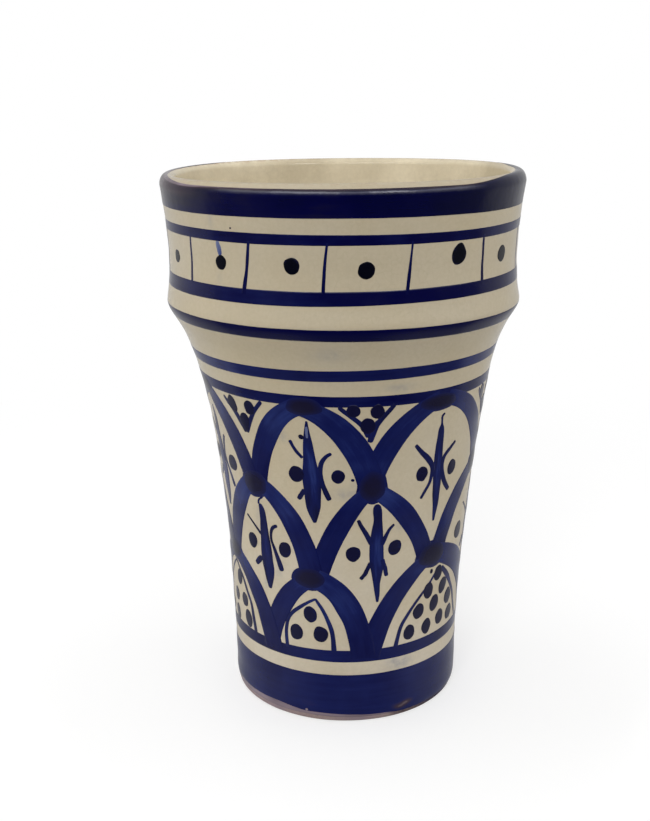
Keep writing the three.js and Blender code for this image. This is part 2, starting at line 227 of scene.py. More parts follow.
# Hands that painted the domes. Turns count from the knot over the dome
DOME_HANDS = (
    Marks(
        (
            (
                (1, 37.4, 0.5), (-4, 35, 0.65), (-8.5, 32, 0.65), (-13, 27.5, 0.65), (-15.8, 23, 0.65),
                (-16.8, 19.4, 0.7),
            ),
            (
                (1, 37.4, 0.6), (5, 35, 0.85), (8, 33.1, 0.9), (11.4, 30.2, 0.9), (14.4, 26.9, 0.9),
                (17.2, 19.4, 1),
            ),
        ),
        (
            (3.2, 32.9, 3, 4.4, -8), (8.1, 27.4, 3.2, 3.8, 0), (-1.6, 27.1, 2.8, 3.8, 0),
            (10.8, 22.6, 3.4, 4.8, 0), (-2, 21.9, 3, 4.5, 0), (-11.5, 22.8, 3.2, 4, 0),
        ),
    ),
    Marks(
        (
            (
                (0.5, 33.9, 0.6), (-3, 32.8, 0.75), (-7.1, 31.2, 0.95), (-10.9, 29.5, 0.95),
                (-13.5, 27.5, 0.9), (-14.8, 25, 0.85), (-15.1, 22, 0.8), (-14.7, 18.9, 0.9),
            ),
            (
                (0.1, 34, 0.6), (1.6, 32.7, 0.8), (3.8, 30.9, 0.9), (6, 28.4, 0.95), (8.2, 24.6, 1),
                (9, 19, 1.05),
            ),
        ),
        ((-2.4, 29.5, 3.4, 4.4, 0), (-9.5, 23.9, 3.5, 4.3, 0), (2.6, 24.3, 3.7, 4.3, 0)),
    ),
    Marks(
        (
            (
                (6.9, 38.7, 0.5), (2.7, 36.7, 0.55), (-0.9, 34.5, 0.6), (-5.6, 32.1, 0.75),
                (-9.6, 29.9, 0.8), (-13.1, 27.5, 0.9), (-16.2, 24.7, 1), (-18.7, 19.4, 1.2),
            ),
            ((7.7, 38.1, 1.1), (14.1, 34.5, 1.3), (18.8, 31.2, 1.1), (22.7, 27.8, 0.95), (29.6, 19.6, 0.85)),
        ),
        (
            (5.4, 36.8, 3.2, 4.2, -8), (10.7, 32.5, 3.4, 4.4, -8), (16.5, 28.2, 3.6, 4.4, -8),
            (-0.5, 32.8, 3.4, 4.4, -8), (4.5, 28.7, 3.4, 4.5, -8), (-6.1, 28, 3.5, 4.2, -8),
            (19.4, 23.2, 3.6, 4.2, -8), (9.7, 23.7, 3.4, 4.1, -8), (-0.2, 22.9, 3.2, 4.2, -8),
            (-11.2, 22.8, 3.4, 4, -8), (0.3, 38, 1, 1.3, 0),
        ),
    ),
)
# Hands that painted the hanging points. Turns count from the knot below
PENDANT_HANDS = (
    Marks(
        (
            ((-11.6, 83.6, 0.6), (-9.1, 81.9, 1.1), (-6, 80.2, 1.3), (-3.8, 78.2, 1.3), (-1.1, 75.2, 1)),
            ((9.6, 84.4, 0.9), (6.3, 82.2, 1), (4.2, 80.6, 1), (2.1, 78.5, 1), (-0.9, 75.2, 0.9)),
        ),
        (
            (-6.7, 82.1, 3.1, 4.4, 20), (2.9, 82.2, 3.4, 3.6, 0), (-0.9, 78.6, 3.3, 3.6, 0),
            (-0.8, 77, 2, 2.6, 0),
        ),
    ),
    Marks(
        (
            ((-12.9, 84.5, 1), (-9.4, 82.4, 1.15), (-5.9, 80.6, 1.15), (-3.4, 78.9, 1.3), (-1.9, 76.6, 0.9)),
            ((8, 84.7, 1.1), (5.3, 82.8, 1.1), (2.3, 80.8, 1.15), (0.1, 79, 1.4), (-1.7, 75.2, 1.1)),
        ),
        ((-7.4, 83.4, 3.2, 3.2, 0), (1.3, 83.2, 3.4, 3.5, 0), (-2.1, 79.6, 3.6, 3.9, 0)),
    ),
)

# Blue stains on the cream: turn, height, half width and half height in mm, strength
STAINS = (
    (25.6, 15.2, 3.2, 1.6, 0.75),
    (30, 15.0, 1.8, 1.0, 0.5),
    (19.9, 88.6, 3.0, 1.0, 0.5),
    (-25.4, 76.3, 1.4, 1.2, 0.7),
    (-1.5, 62.1, 2.8, 1.2, 0.5),
    (3.2, 63.5, 1.6, 1.4, 0.45),
    (-4.3, 97.5, 4.0, 1.6, 0.3),
    (-39.8, 113.2, 0.7, 1.6, 0.3),
    (-42, 126, 0.8, 1.8, 0.35),
    (24, 52.6, 1.2, 1.6, 0.35),
    (-42.6, 52.8, 0.7, 2.8, 0.5),
    (-32.9, 40.3, 1.6, 2.6, 0.4),
    (-39.9, 35.7, 0.7, 1.6, 0.5),
    (150, 96, 3.5, 1.5, 0.45),
    (205, 15, 3.0, 1.4, 0.5),
    (118, 116, 2.0, 2.5, 0.35),
    (270, 88.5, 3.0, 1.0, 0.4),
)
# Specular level of glaze and paint
GLOSS = 0.4
# Paint that a dot carries in its middle and at its edge
DOT_LOAD = (0.8, 0.74)


def mm(value):
    """Millimetres in metres."""
    return value * 0.001


def srgb(*levels):
    """A colour written in 8-bit levels, as linear values."""
    shares = [level / 255 for level in levels]
    return tuple(s / 12.92 if s <= 0.04045 else ((s + 0.055) / 1.055) ** 2.4 for s in shares)


def length(name, description, default):
    """A size that a user may change."""
    return bpy.props.FloatProperty(
        name=name, description=description, default=default, min=0, precision=5, unit="LENGTH"
    )


def factor(name, description, default):
    """A factor that a user may change."""
    return bpy.props.FloatProperty(
        name=name, description=description, default=default, min=0.2, max=2, subtype="FACTOR"
    )


def power(name, description, default):
    """A lamp's power that a user may change."""
    return bpy.props.FloatProperty(
        name=name, description=description, default=default, min=0, precision=3, unit="POWER"
    )


def colour(name, description, *levels):
    """A colour that a user may change."""
    return bpy.props.FloatVectorProperty(
        name=name, description=description, default=srgb(*levels), size=3, min=0, max=1, subtype="COLOR"
    )


class PotSizes(bpy.types.PropertyGroup):
    """Sizes of the thrown pot, measured on its glaze."""

    lip_top: length("Lip top", "Height of the lip's crest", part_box("outer_glaze")[1].z)
    bare_foot: length("Bare foot", "Height of unglazed clay above the table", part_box("outer_glaze")[0].z)
    rim_radius: length("Rim radius", "Radius at the lip's foot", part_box("outer_glaze")[1].x)
    ridge_radius: length("Ridge radius", "Radius at the shoulder ridge", mm(43.9))
    neck_radius: length("Neck radius", "Radius where body and shoulder meet", mm(38.3))
    base_radius: length("Base radius", "Radius of the upright foot", mm(29.5))
    ridge_height: length("Ridge height", "Height of the shoulder ridge", mm(104))
    shoulder_height: length("Shoulder height", "Rise from the neck to the ridge", mm(12.5))
    foot_edge: length("Foot edge", "Height of the rounded foot edge", mm(4.5))
    foot_tuck: length("Foot tuck", "How far the foot draws in to the table", mm(0.6))
    foot_ring: length("Foot ring", "Width of the ring it stands on", mm(8))
    foot_recess: length("Foot recess", "Depth of the hollow inside the foot ring", mm(1.2))
    wall: length("Wall", "Thickness of the wall with its glazes", mm(4.2))
    floor: length("Floor", "Height of the inside bottom", mm(7))
    floor_fillet: length("Floor fillet", "Rounding of the inside corner", mm(9))
    lip_thickness: length("Lip thickness", "Thickness at the lip's foot", mm(3.6))
    lip_round: length("Lip round", "Height of the rounded lip", mm(2.6))
    lip_inside: length("Inner lip round", "Height of the lip's rounding on the inside", mm(1.5))
    glaze: length("Glaze", "Thickness of the glaze coat", mm(0.4))
    oval: length("Oval", "How far the mouth strays from round", mm(0.2))
    throwing: length("Throwing rings", "Height of the rings left by the thrower's fingers", mm(0.03))


class PaintSizes(bpy.types.PropertyGroup):
    """Sizes of the brush work."""

    coat: length("Coat", "Height of the paint above the glaze", mm(0.03))
    sink: length("Sink", "Depth of a stroke's edge in the glaze", mm(0.04))
    layer: length("Layer", "Step between strokes that lie on each other", mm(0.006))
    arm: length("Scale arm", "Width of the net's brush strokes", mm(5.8))
    divider: length("Divider", "Width of the collar's upright lines", mm(1))
    collar_dot: length("Collar dot", "Diameter of the collar's dots at the back", mm(3.7))
    strokes: factor("Thin strokes", "Width of the thin strokes as a share of the listed one", 1.2)
    dots: factor("Dots", "Size of the dots as a share of the listed one", 1.04)


class PotColours(bpy.types.PropertyGroup):
    """Colours of clay, glaze and paint."""

    clay: colour("Clay", "Bare fired clay", 192, 166, 136)
    cream: colour("Cream", "Tin glaze", 191, 180, 157)
    # Painted light: a lighter cream for the lower body, standing in for the extra light that falls there,
    # not thicker glaze
    lit_low_cream: colour("Low cream", "Tin glaze that has run down and lies thicker", 203, 193, 175)
    cream_warm: colour("Warm cream", "Tin glaze where it lies thin", 188, 175, 147)
    # Painted light: the inside is the same glaze as the outside, made much lighter so that the inside looks
    # more brightly lit
    inside: colour("Inside cream", "Tin glaze of the inside", 238, 226, 198)
    speck: colour("Speck", "Iron specks in the glaze", 110, 88, 66)
    stain: colour("Stain", "Cobalt wiped over the cream", 120, 126, 142)
    wash: colour("Wash", "Cobalt at its thinnest", 120, 126, 150)
    thin: colour("Thin blue", "Thin cobalt", 46, 62, 122)
    middle: colour("Middle blue", "Cobalt as the arms have it", 19, 27, 80)
    deep: colour("Deep blue", "Thick cobalt", 3, 4, 56)
    night: colour("Night blue", "Cobalt of the rim", 2, 4, 42)
    knot: colour("Knot blue", "Cobalt piled up on the knots", 24, 22, 46)
    black: colour("Blue black", "Cobalt of the body's dots", 17, 17, 48)
    ink: colour("Ink", "Cobalt of the collar's dots", 4, 5, 18)
    plum: colour("Plum", "Thin cobalt over the lip and foot", 58, 45, 56)
    plum_wash: colour("Plum wash", "Cobalt run thin under the foot band", 136, 121, 130)
    worn: colour("Worn lip", "Clay that shows through where the lip is worn", 168, 132, 100)


class StageLight(bpy.types.PropertyGroup):
    """Light on the stage."""

    top: power("Top lamps", "Power of the two narrow lamps overhead", 1.0)
    gleam: power("Gleam", "Power of the lamps that are only mirrored in the lip", 6)
    front: power("Front lamp", "Power of the wide lamp in front", 8.0)
    low: power("Low lamp", "Power of the strip that lifts the foot", 0.02)
    left: power("Left lamp", "Power of the soft lamp at the left", 1.75)
    right: power("Right lamp", "Power of the soft lamp at the right", 1.9)
    room: bpy.props.FloatProperty(
        name="Room", description="Strength of the even light of the room", default=0.69, min=0
    )


class Tumbler(bpy.types.PropertyGroup):
    """Everything that a user may change."""

    pot: bpy.props.PointerProperty(type=PotSizes, name="Pot", description="Sizes of the thrown pot")
    paint: bpy.props.PointerProperty(type=PaintSizes, name="Paint", description="Sizes of the brush work")
    colours: bpy.props.PointerProperty(type=PotColours, name="Colours", description="Colours of the pot")
    light: bpy.props.PointerProperty(type=StageLight, name="Light", description="Light on the stage")


def bezier(points, steps):
    """Points along a Bezier curve, without its last one."""
    share = (np.arange(steps) / steps)[:, None]
    level = [np.array(point, float)[None] for point in points]
    while len(level) > 1:
        level = [a + (b - a) * share for a, b in zip(level, level[1:])]
    return level[0]


def through(points, steps):
    """Points along a smooth curve that runs through the given ones."""
    points = np.array(points, float)
    ends = np.vstack([2 * points[0] - points[1], points, 2 * points[-1] - points[-2]])
    share = (np.arange(steps) / steps)[:, None]
    parts = []
    for a, b, c, d in zip(ends, ends[1:], ends[2:], ends[3:]):
        bend = (2 * a - 5 * b + 4 * c - d) * share**2 + (3 * b - a - 3 * c + d) * share**3
        parts.append(b + ((c - a) * share + bend) / 2)
    return np.vstack([*parts, points[-1:]])


def smooth(value, low, high):
    """0 at low, 1 at high and an even S between them; either may be the larger."""
    share = np.clip((value - low) / (high - low), 0, 1)
    return share * share * (3 - 2 * share)


def pot_curves(pot):
    """The glaze's outline as (control points, rows): outside, lip, inside and floor."""
    base, neck, ridge, rim = pot.base_radius, pot.neck_radius, pot.ridge_radius, pot.rim_radius
    edge_z, ridge_z, top_z = pot.foot_edge, pot.ridge_height, pot.lip_top
    neck_z = ridge_z - pot.shoulder_height
    lip_z, inner_z = top_z - pot.lip_round, top_z - pot.lip_inside
    half_lip = pot.lip_thickness / 2
    crest = rim - half_lip
    inner_rim = rim - pot.lip_thickness
    inner_ridge = ridge - pot.wall - mm(1)
    inner_neck, inner_base = neck - pot.wall, base - pot.wall
    fillet = pot.floor_fillet
    slope = 0.31

    def off_neck(radius, rise):
        """A handle along the slope that body and shoulder share at the neck."""
        return radius + slope * mm(rise), neck_z + mm(rise)

    # Rows of each section, and its control points after the end of the one before
    sections = (
        (6, (base, mm(2.1)), (base, edge_z)),
        (96, (base, edge_z + mm(31.4)), off_neck(neck, -14.6), (neck, neck_z)),
        (24, off_neck(neck, 8.4), (ridge, ridge_z - mm(2.2)), (ridge, ridge_z)),
        (40, (ridge, ridge_z + mm(1.8)), (rim - mm(3.1), ridge_z + mm(7.3)), (rim, lip_z)),
        (12, (rim, lip_z + ARC * pot.lip_round), (crest + ARC * half_lip, top_z), (crest, top_z)),
        (
            12, (crest - ARC * half_lip, top_z), (inner_rim, inner_z + ARC * pot.lip_inside),
            (inner_rim, inner_z),
        ),
        (26, (inner_ridge, mm(111.3)), (inner_ridge, ridge_z)),
        (14, (inner_ridge, mm(97.75)), off_neck(inner_neck, 2.2), (inner_neck, neck_z)),
        (56, off_neck(inner_neck, -14.6), (inner_base, mm(35.9)), (inner_base, pot.floor + fillet)),
        (14, (inner_base, pot.floor), (inner_base - fillet, pot.floor)),
        (12, (0, pot.floor)),
    )
    curves = []
    end = (base - pot.foot_tuck / 2, pot.bare_foot)
    for rows, *points in sections:
        curves.append(((end, *points), rows))
        end = points[-1]
    return curves


class Wall:
    """The glaze's surface, walked by its run from the foot edge over the lip to the inside bottom."""

    # Sections of the outline up to the lip's crest
    OUTSIDE = 5

    def __init__(self, pot):
        curves = pot_curves(pot)
        fine = [bezier(points, rows * FINE) for points, rows in curves]
        crest = sum(len(part) for part in fine[: self.OUTSIDE])
        outline = np.vstack([*fine, [curves[-1][0][-1]]])
        self.radius, self.height = outline.T
        self.run = np.concatenate([[0], np.cumsum(np.hypot(*np.diff(outline, axis=0).T))])
        along = np.gradient(outline, self.run, axis=0)
        along /= np.hypot(*along.T)[:, None]
        self.out_radius, self.out_height = along[:, 1], -along[:, 0]
        self.crest = self.run[crest]
        self.outside_rows = self.run[: crest + 1 : FINE]
        self.inside_rows = self.run[crest::FINE]
        self.outside = slice(0, crest + 1)
        self.oval, self.throwing, self.top = pot.oval, pot.throwing, pot.lip_top

    def run_at(self, height):
        """Run of a height on the outside."""
        return np.interp(height, self.height[self.outside], self.run[self.outside])

    def radius_at(self, run):
        """Radius of the true outline at a run."""
        return np.interp(run, self.run, self.radius)

    def place(self, turn, run, lift=0.0):
        """Points at a turn in radians and a run, lifted off the glaze."""
        radius, height, out_radius, out_height = (
            np.interp(run, self.run, values)
            for values in (self.radius, self.height, self.out_radius, self.out_height)
        )
        inside = smooth(run, self.crest, self.crest + mm(30))
        rings = self.throwing * (1 + 3 * inside) * np.sin(height / mm(1.1) + turn + 2 * inside)
        oval = self.oval * np.cos(2 * (turn - 0.7)) * (height / self.top) ** 2
        unround = (rings + oval) * smooth(radius, 0, mm(12))
        # The lip isn't quite level, and the middle of the body stands a little off the foot's axis
        wave = mm(0.22) * np.sin(turn + 0.6) + mm(0.1) * np.sin(3 * turn + 2)
        drift = mm(0.45) * smooth(height, mm(22), mm(52)) * smooth(height, mm(92), mm(74))
        drift = drift - mm(0.26) * smooth(height, mm(84), mm(102))
        radius = radius + lift * out_radius + unround
        height = height + lift * out_height + wave * smooth(height, mm(110), self.top)
        return np.stack([radius * np.sin(turn) + drift, -radius * np.cos(turn), height], axis=-1)


class Coat:
    """Points, faces and paint of one piece, gathered stroke by stroke.

    The brush attribute holds the place in the brush's own hairs: along, across, and a step from
    stroke to stroke. A load is a level of paint, or a function of a stroke's shares that gives it.
    """

    STROKE_STEP = 0.37
    # The finishes stretch the hairs of a ring in its first two directions only, so here is the third
    RING_DEPTH = 80
    DAB_RINGS = (0.4, 0.68, 0.86, 0.95, 1.0)

    def __init__(self, context):
        tumbler = context.scene.tumbler
        self.wall, self.paint, self.colours = Wall(tumbler.pot), tumbler.paint, tumbler.colours
        self.points, self.faces, self.load, self.brush = [], [], [], []
        self.count = 0

    def add(self, points, faces, brush, load, *shares):
        """Adds one closed stroke."""
        level = load(*shares) if callable(load) else load
        self.points.append(points.reshape(-1, 3))
        self.load.append(np.broadcast_to(level, points.shape[:-1]).ravel())
        self.brush.append(brush.reshape(-1, 3))
        self.faces += [[index + self.count for index in face] for face in faces]
        self.count += len(self.points[-1])

    def lift(self, layer, share):
        """Height of a stroke's surface: its layer in the middle, sunk in the glaze at the edge."""
        top = self.paint.coat + layer * self.paint.layer
        return share * (top + self.paint.sink) - self.paint.sink

    def ring(self, low, high, load, layer=0, rows=9):
        """A painted ring between two edges, each a run at every turn; load takes turn and share."""
        share = (1 - np.cos(np.linspace(0, math.pi, rows)))[:, None] / 2
        run = low + (high - low) * share
        edge = np.ones((rows, 1))
        edge[[0, -1]] = 0
        points = self.wall.place(AROUND[None], run, self.lift(layer, edge))
        grid = np.arange(rows * COLUMNS).reshape(rows, COLUMNS)
        after = np.roll(grid, -1, axis=1)
        top = np.stack([grid[:-1], after[:-1], after[1:], grid[1:]], axis=-1)
        under = np.stack([grid[-1], after[-1], after[0], grid[0]], axis=-1)
        faces = [*top.reshape(-1, 4).tolist(), *under.tolist()]
        radius = self.wall.radius_at(run)
        depth = layer + self.RING_DEPTH * radius * np.cos(AROUND)
        brush = np.stack([radius * np.sin(AROUND), run, depth], axis=-1)
        self.add(points, faces, brush, load, AROUND[None], share)

    def line(self, low, high, tilt, load, seed, unrest=mm(0.12), play=0.06):
        """A thin tilted ring between two heights, with unsteady edges and an uneven load."""
        edges = [ring_edge(self.wall, z, tilt, unrest, seed + 10 * i) for i, z in enumerate((low, high))]
        self.ring(*edges, lambda turn, share: load + play * closed_stray(turn, seed + 5, 12))

    def ribbon(self, path, width, load, seed, layer=0, across=9, tremor=0.1):
        """A brush stroke along (turn, run) points; load takes the shares along and across it."""
        turn, run = path.T
        radius = self.wall.radius_at(run)
        step_u, step_v = np.gradient(turn) * radius, np.gradient(run)
        size = np.hypot(step_u, step_v)
        side_u, side_v = -step_v / size, step_u / size
        along = np.concatenate([[0], np.cumsum((size[1:] + size[:-1]) / 2)])
        share = np.sin(np.linspace(-math.pi / 2, math.pi / 2, across))[None]
        half = width[:, None] / 2
        edges = half * (1 + tremor * stray(along / along[-1], seed, 2))
        reach = np.where(share < 0, edges[:, :1], edges[:, 1:]) * share
        flat = np.ones((len(path), across))
        flat[:, [0, -1]] = 0
        flat[[0, -1]] = 0
        points = self.wall.place(
            turn[:, None] + reach * (side_u / radius)[:, None],
            run[:, None] + reach * side_v[:, None],
            self.lift(layer, flat),
        )
        grid = np.arange(len(path) * across).reshape(len(path), across)
        top = np.stack([grid[:-1, :-1], grid[1:, :-1], grid[1:, 1:], grid[:-1, 1:]], axis=-1)
        under = np.stack([grid[:-1, 0], grid[:-1, -1], grid[1:, -1], grid[1:, 0]], axis=-1)
        ends = [grid[0].tolist(), grid[-1, ::-1].tolist()]
        faces = [*top.reshape(-1, 4).tolist(), *under.tolist(), *ends]
        brush = np.stack(np.broadcast_arrays(along[:, None], reach, self.STROKE_STEP * seed), axis=-1)
        self.add(points, faces, brush, load, (along / along[-1])[:, None], share)

    def stroke(self, points, turn, load, seed, layer=0, scale=1):
        """A brush stroke through (turn, height, width) points that count from a turn."""
        flat = through(points, 10)
        path = np.stack([np.radians(flat[:, 0] + turn), self.wall.run_at(mm(flat[:, 1]))], axis=-1)
        width = rounded(mm(flat[:, 2]) * scale, path_length(self.wall, path))
        self.ribbon(path, width, load, seed, layer)

    def dab(self, spot, turn, loads, seed, layer=5, soft=(0.35, 1), rough=0.06, sides=26, dome=60):
        """A dab at a spot that counts from a turn; its load goes from middle to edge."""
        wide, tall = (mm(size) * self.paint.dots for size in spot[2:4])
        turn, height, lean = turn + spot[0], spot[1], math.radians(spot[4])
        middle, edge = loads
        rings = np.array(self.DAB_RINGS)[:, None]
        angle = np.arange(sides)[None] * TURN / sides
        reach = rings * (1 + rough * closed_stray(angle, seed))
        u, v = reach * np.cos(angle) * wide / 2, reach * np.sin(angle) * tall / 2
        u, v = u * math.cos(lean) - v * math.sin(lean), u * math.sin(lean) + v * math.cos(lean)
        u, v = (np.concatenate([[0], value.ravel()]) for value in (u, v))
        run = self.wall.run_at(mm(height)) + v
        spots = math.radians(turn) + u / self.wall.radius_at(run)
        out = np.concatenate([[0], np.repeat(rings[:, 0], sides)])
        points = self.wall.place(spots, run, self.lift(layer, 1 - out**dome))
        grid = 1 + np.arange(len(rings) * sides).reshape(-1, sides)
        after = np.roll(grid, -1, axis=1)
        fan = [[0, a, b] for a, b in zip(grid[0].tolist(), after[0].tolist())]
        bands = np.stack([grid[:-1], grid[1:], after[1:], after[:-1]], axis=-1)
        faces = [*fan, *bands.reshape(-1, 4).tolist(), grid[-1, ::-1].tolist()]
        brush = np.stack(np.broadcast_arrays(u, v, self.STROKE_STEP * seed), axis=-1)
        self.add(points, faces, brush, middle + (edge - middle) * smooth(out, *soft))

    def piece(self, name, finish, slot, *nodes):
        """Makes the object, rides it on the pot and lets it stand for its CAD nodes."""
        add_piece(
            name, np.vstack(self.points), self.faces, finish_of(finish, self.colours), slot, nodes,
            load=np.concatenate(self.load), brush=np.vstack(self.brush),
        )


def stray(share, seed, lines):
    """Slow hand tremor along a stroke, for a number of lines."""
    rng = np.random.default_rng(seed)
    waves = np.arange(1, 8)
    size = rng.normal(size=(lines, 1, len(waves))) / waves
    phase = rng.uniform(0, TURN, (lines, 1, len(waves)))
    return (size * np.sin(math.pi * waves * share[None, :, None] + phase)).sum(axis=-1).T


def closed_stray(angle, seed, waves=6):
    """Slow hand tremor round a closed outline."""
    rng = np.random.default_rng(seed)
    counts = np.arange(1, waves + 1)
    size = rng.normal(size=waves) / counts
    phase = rng.uniform(0, TURN, waves)
    return (size * np.sin(counts * angle[..., None] + phase)).sum(axis=-1)


def add_piece(name, points, faces, material, slot, nodes=(), **paint):
    """A smooth mesh object of the pot, with its paint attributes."""
    mesh = bpy.data.meshes.new(name)
    mesh.from_pydata(points.tolist(), [], faces)
    for label, values in paint.items():
        kind, field = ("FLOAT_VECTOR", "vector") if values.ndim == 2 else ("FLOAT", "value")
        attribute = mesh.attributes.new(label, kind, "POINT")
        attribute.data.foreach_set(field, values.astype(np.float32).ravel())
    mesh.materials.append(material)
    mesh.shade_smooth()
    mesh.set_sharp_from_angle(angle=SHARP)
    mesh.validate()
    piece = bpy.data.objects.new(name, mesh)
    bpy.context.scene.collection.objects.link(piece)
    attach(piece, "root")
    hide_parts(*nodes)


def tip(height):
    """A single point on the pot's axis."""
    return np.array([[0, 0, height]])


def hoop(radius, height, turn=AROUND):
    """Points round the axis at a height; the radius may differ from turn to turn."""
    level = np.full(len(turn), height)
    return np.stack([radius * np.sin(turn), -radius * np.cos(turn), level], axis=-1)


def skin(rows, loop=False):
    """Points and faces of a skin over rings of points; a row of one point is a tip."""
    starts = np.concatenate([[0], np.cumsum([len(row) for row in rows])]).tolist()
    order = [*range(len(rows)), 0] if loop else range(len(rows))
    faces = []
    for low, high in zip(order, order[1:]):
        count = max(len(rows[low]), len(rows[high]))
        for i in range(count):
            j = (i + 1) % count
            if len(rows[low]) == 1:
                faces.append((starts[low], starts[high] + j, starts[high] + i))
            elif len(rows[high]) == 1:
                faces.append((starts[low] + i, starts[low] + j, starts[high]))
            else:
                faces.append((starts[low] + i, starts[low] + j, starts[high] + j, starts[high] + i))
    return np.vstack(rows), faces


def rounded(width, along):
    """The width with its two ends rounded, as a loaded brush leaves them."""
    total = along[-1]
    for place in (along, total - along):
        cap = np.maximum(width / 2, mm(0.2))
        inside = np.clip(1 - place / cap, 0, 1)
        width = width * np.maximum(np.sqrt(1 - inside**2), 0.12)
    return width


def path_length(wall, path):
    """Distance along a (turn, run) path from its start."""
    step = np.diff(path, axis=0)
    middle = wall.radius_at((path[1:, 1] + path[:-1, 1]) / 2)
    return np.concatenate([[0], np.cumsum(np.hypot(step[:, 0] * middle, step[:, 1]))])


def curve_on(wall, points, steps):
    """A Bezier path on the pot; its control points are (turn in degrees, height in mm)."""
    flat = np.vstack([bezier(points, steps), [points[-1]]])
    return np.stack([np.radians(flat[:, 0]), wall.run_at(mm(flat[:, 1]))], axis=-1)


class Nodes:
    """Short ways to build a node tree."""

    def __init__(self, tree):
        self.tree = tree
        tree.nodes.clear()

    def node(self, kind, inputs=None, **settings):
        """A node with its settings and the values or links of its inputs."""
        made = self.tree.nodes.new(kind)
        for key, value in settings.items():
            setattr(made, key, value)
        for key, value in (inputs or {}).items():
            if isinstance(value, bpy.types.NodeSocket):
                self.link(value, made.inputs[key])
            else:
                made.inputs[key].default_value = value
        return made

    def link(self, start, end):
        """A link from an output to an input."""
        self.tree.links.new(start, end)

    def math(self, operation, first, second):
        """One operation on two values."""
        made = self.node("ShaderNodeMath", {0: first, 1: second}, operation=operation)
        return made.outputs[0]

    def noise(self, vector, scale, detail=2.0, roughness=0.5):
        """A cloudy value from 0 to 1."""
        inputs = {"Vector": vector, "Scale": scale, "Detail": detail, "Roughness": roughness}
        return self.node("ShaderNodeTexNoise", inputs).outputs["Fac"]

    def stretch(self, vector, scale):
        """A place scaled in its three directions."""
        made = self.node("ShaderNodeMapping", {"Vector": vector, "Scale": scale})
        return made.outputs["Vector"]

    def spread(self, value, low, high, to_low=0.0, to_high=1.0):
        """A value taken from one range to another and held at its ends."""
        inputs = {"Value": value, "From Min": low, "From Max": high, "To Min": to_low, "To Max": to_high}
        return self.node("ShaderNodeMapRange", inputs).outputs["Result"]

    def ramp(self, value, stops):
        """A colour ramp from (place, colour) stops."""
        made = self.node("ShaderNodeValToRGB", {"Fac": value})
        elements = made.color_ramp.elements
        while len(elements) < len(stops):
            elements.new(1.0)
        for element, (place, level) in zip(elements, stops):
            element.position = place
            element.color = (*level, 1)
        return made.outputs["Color"]

    def greys(self, value, *stops):
        """A ramp of greys from (place, level) stops."""
        return self.ramp(value, [(place, (level,) * 3) for place, level in stops])

    def mix(self, share, first, second):
        """One colour or the other, by a share."""
        ends = (end if isinstance(end, bpy.types.NodeSocket) else (*end, 1) for end in (first, second))
        # Of the node's sockets, inputs 6 and 7 and output 2 are the ones for colours
        inputs = {"Factor": share, **dict(zip((6, 7), ends))}
        return self.node("ShaderNodeMix", inputs, data_type="RGBA").outputs[2]

    def attribute(self, name, output):
        """A paint attribute of the mesh."""
        return self.node("ShaderNodeAttribute", attribute_name=name).outputs[output]

    def place(self):
        """A place in the pot's own frame."""
        return self.node("ShaderNodeTexCoord").outputs["Object"]

    def axis(self, vector, name):
        """One of the three parts of a place or direction."""
        return self.node("ShaderNodeSeparateXYZ", {0: vector}).outputs[name]

    def vector(self, operation, *inputs, output="Vector"):
        """One operation on places, directions or colours."""
        made = self.node("ShaderNodeVectorMath", dict(enumerate(inputs)), operation=operation)
        return made.outputs[output]

    def toward(self, aim, way):
        """A direction's share of the way: 0 straight away from it, 1 straight along it."""
        return self.spread(self.vector("DOT_PRODUCT", aim, way, output="Value"), -1.0, 1.0)

    def mirrored(self, path):
        """1 for the rays of reflections and clear things."""
        return self.math("MAXIMUM", path["Is Glossy Ray"], path["Is Transmission Ray"])

    def blend(self, share, first, second):
        """One shader or the other, by a share."""
        return self.node("ShaderNodeMixShader", {0: share, 1: first.outputs[0], 2: second.outputs[0]})


class Shader(Nodes):
    """A new material with one surface."""

    def __init__(self, name):
        self.material = bpy.data.materials.new(name)
        self.material.use_nodes = True
        super().__init__(self.material.node_tree)
        self.surface = self.node("ShaderNodeBsdfPrincipled")
        self.output = self.node("ShaderNodeOutputMaterial", {"Surface": self.surface.outputs[0]})

    def bump(self, height, strength, distance):
        """Fine relief of the surface."""
        made = self.node("ShaderNodeBump", {"Height": height, "Strength": strength, "Distance": distance})
        self.link(made.outputs["Normal"], self.surface.inputs["Normal"])

    def finish(self, base, roughness, specular):
        """The material with its colour and gloss set."""
        self.link(base, self.surface.inputs["Base Color"])
        self.link(roughness, self.surface.inputs["Roughness"])
        self.surface.inputs["Specular IOR Level"].default_value = specular
        return self.material


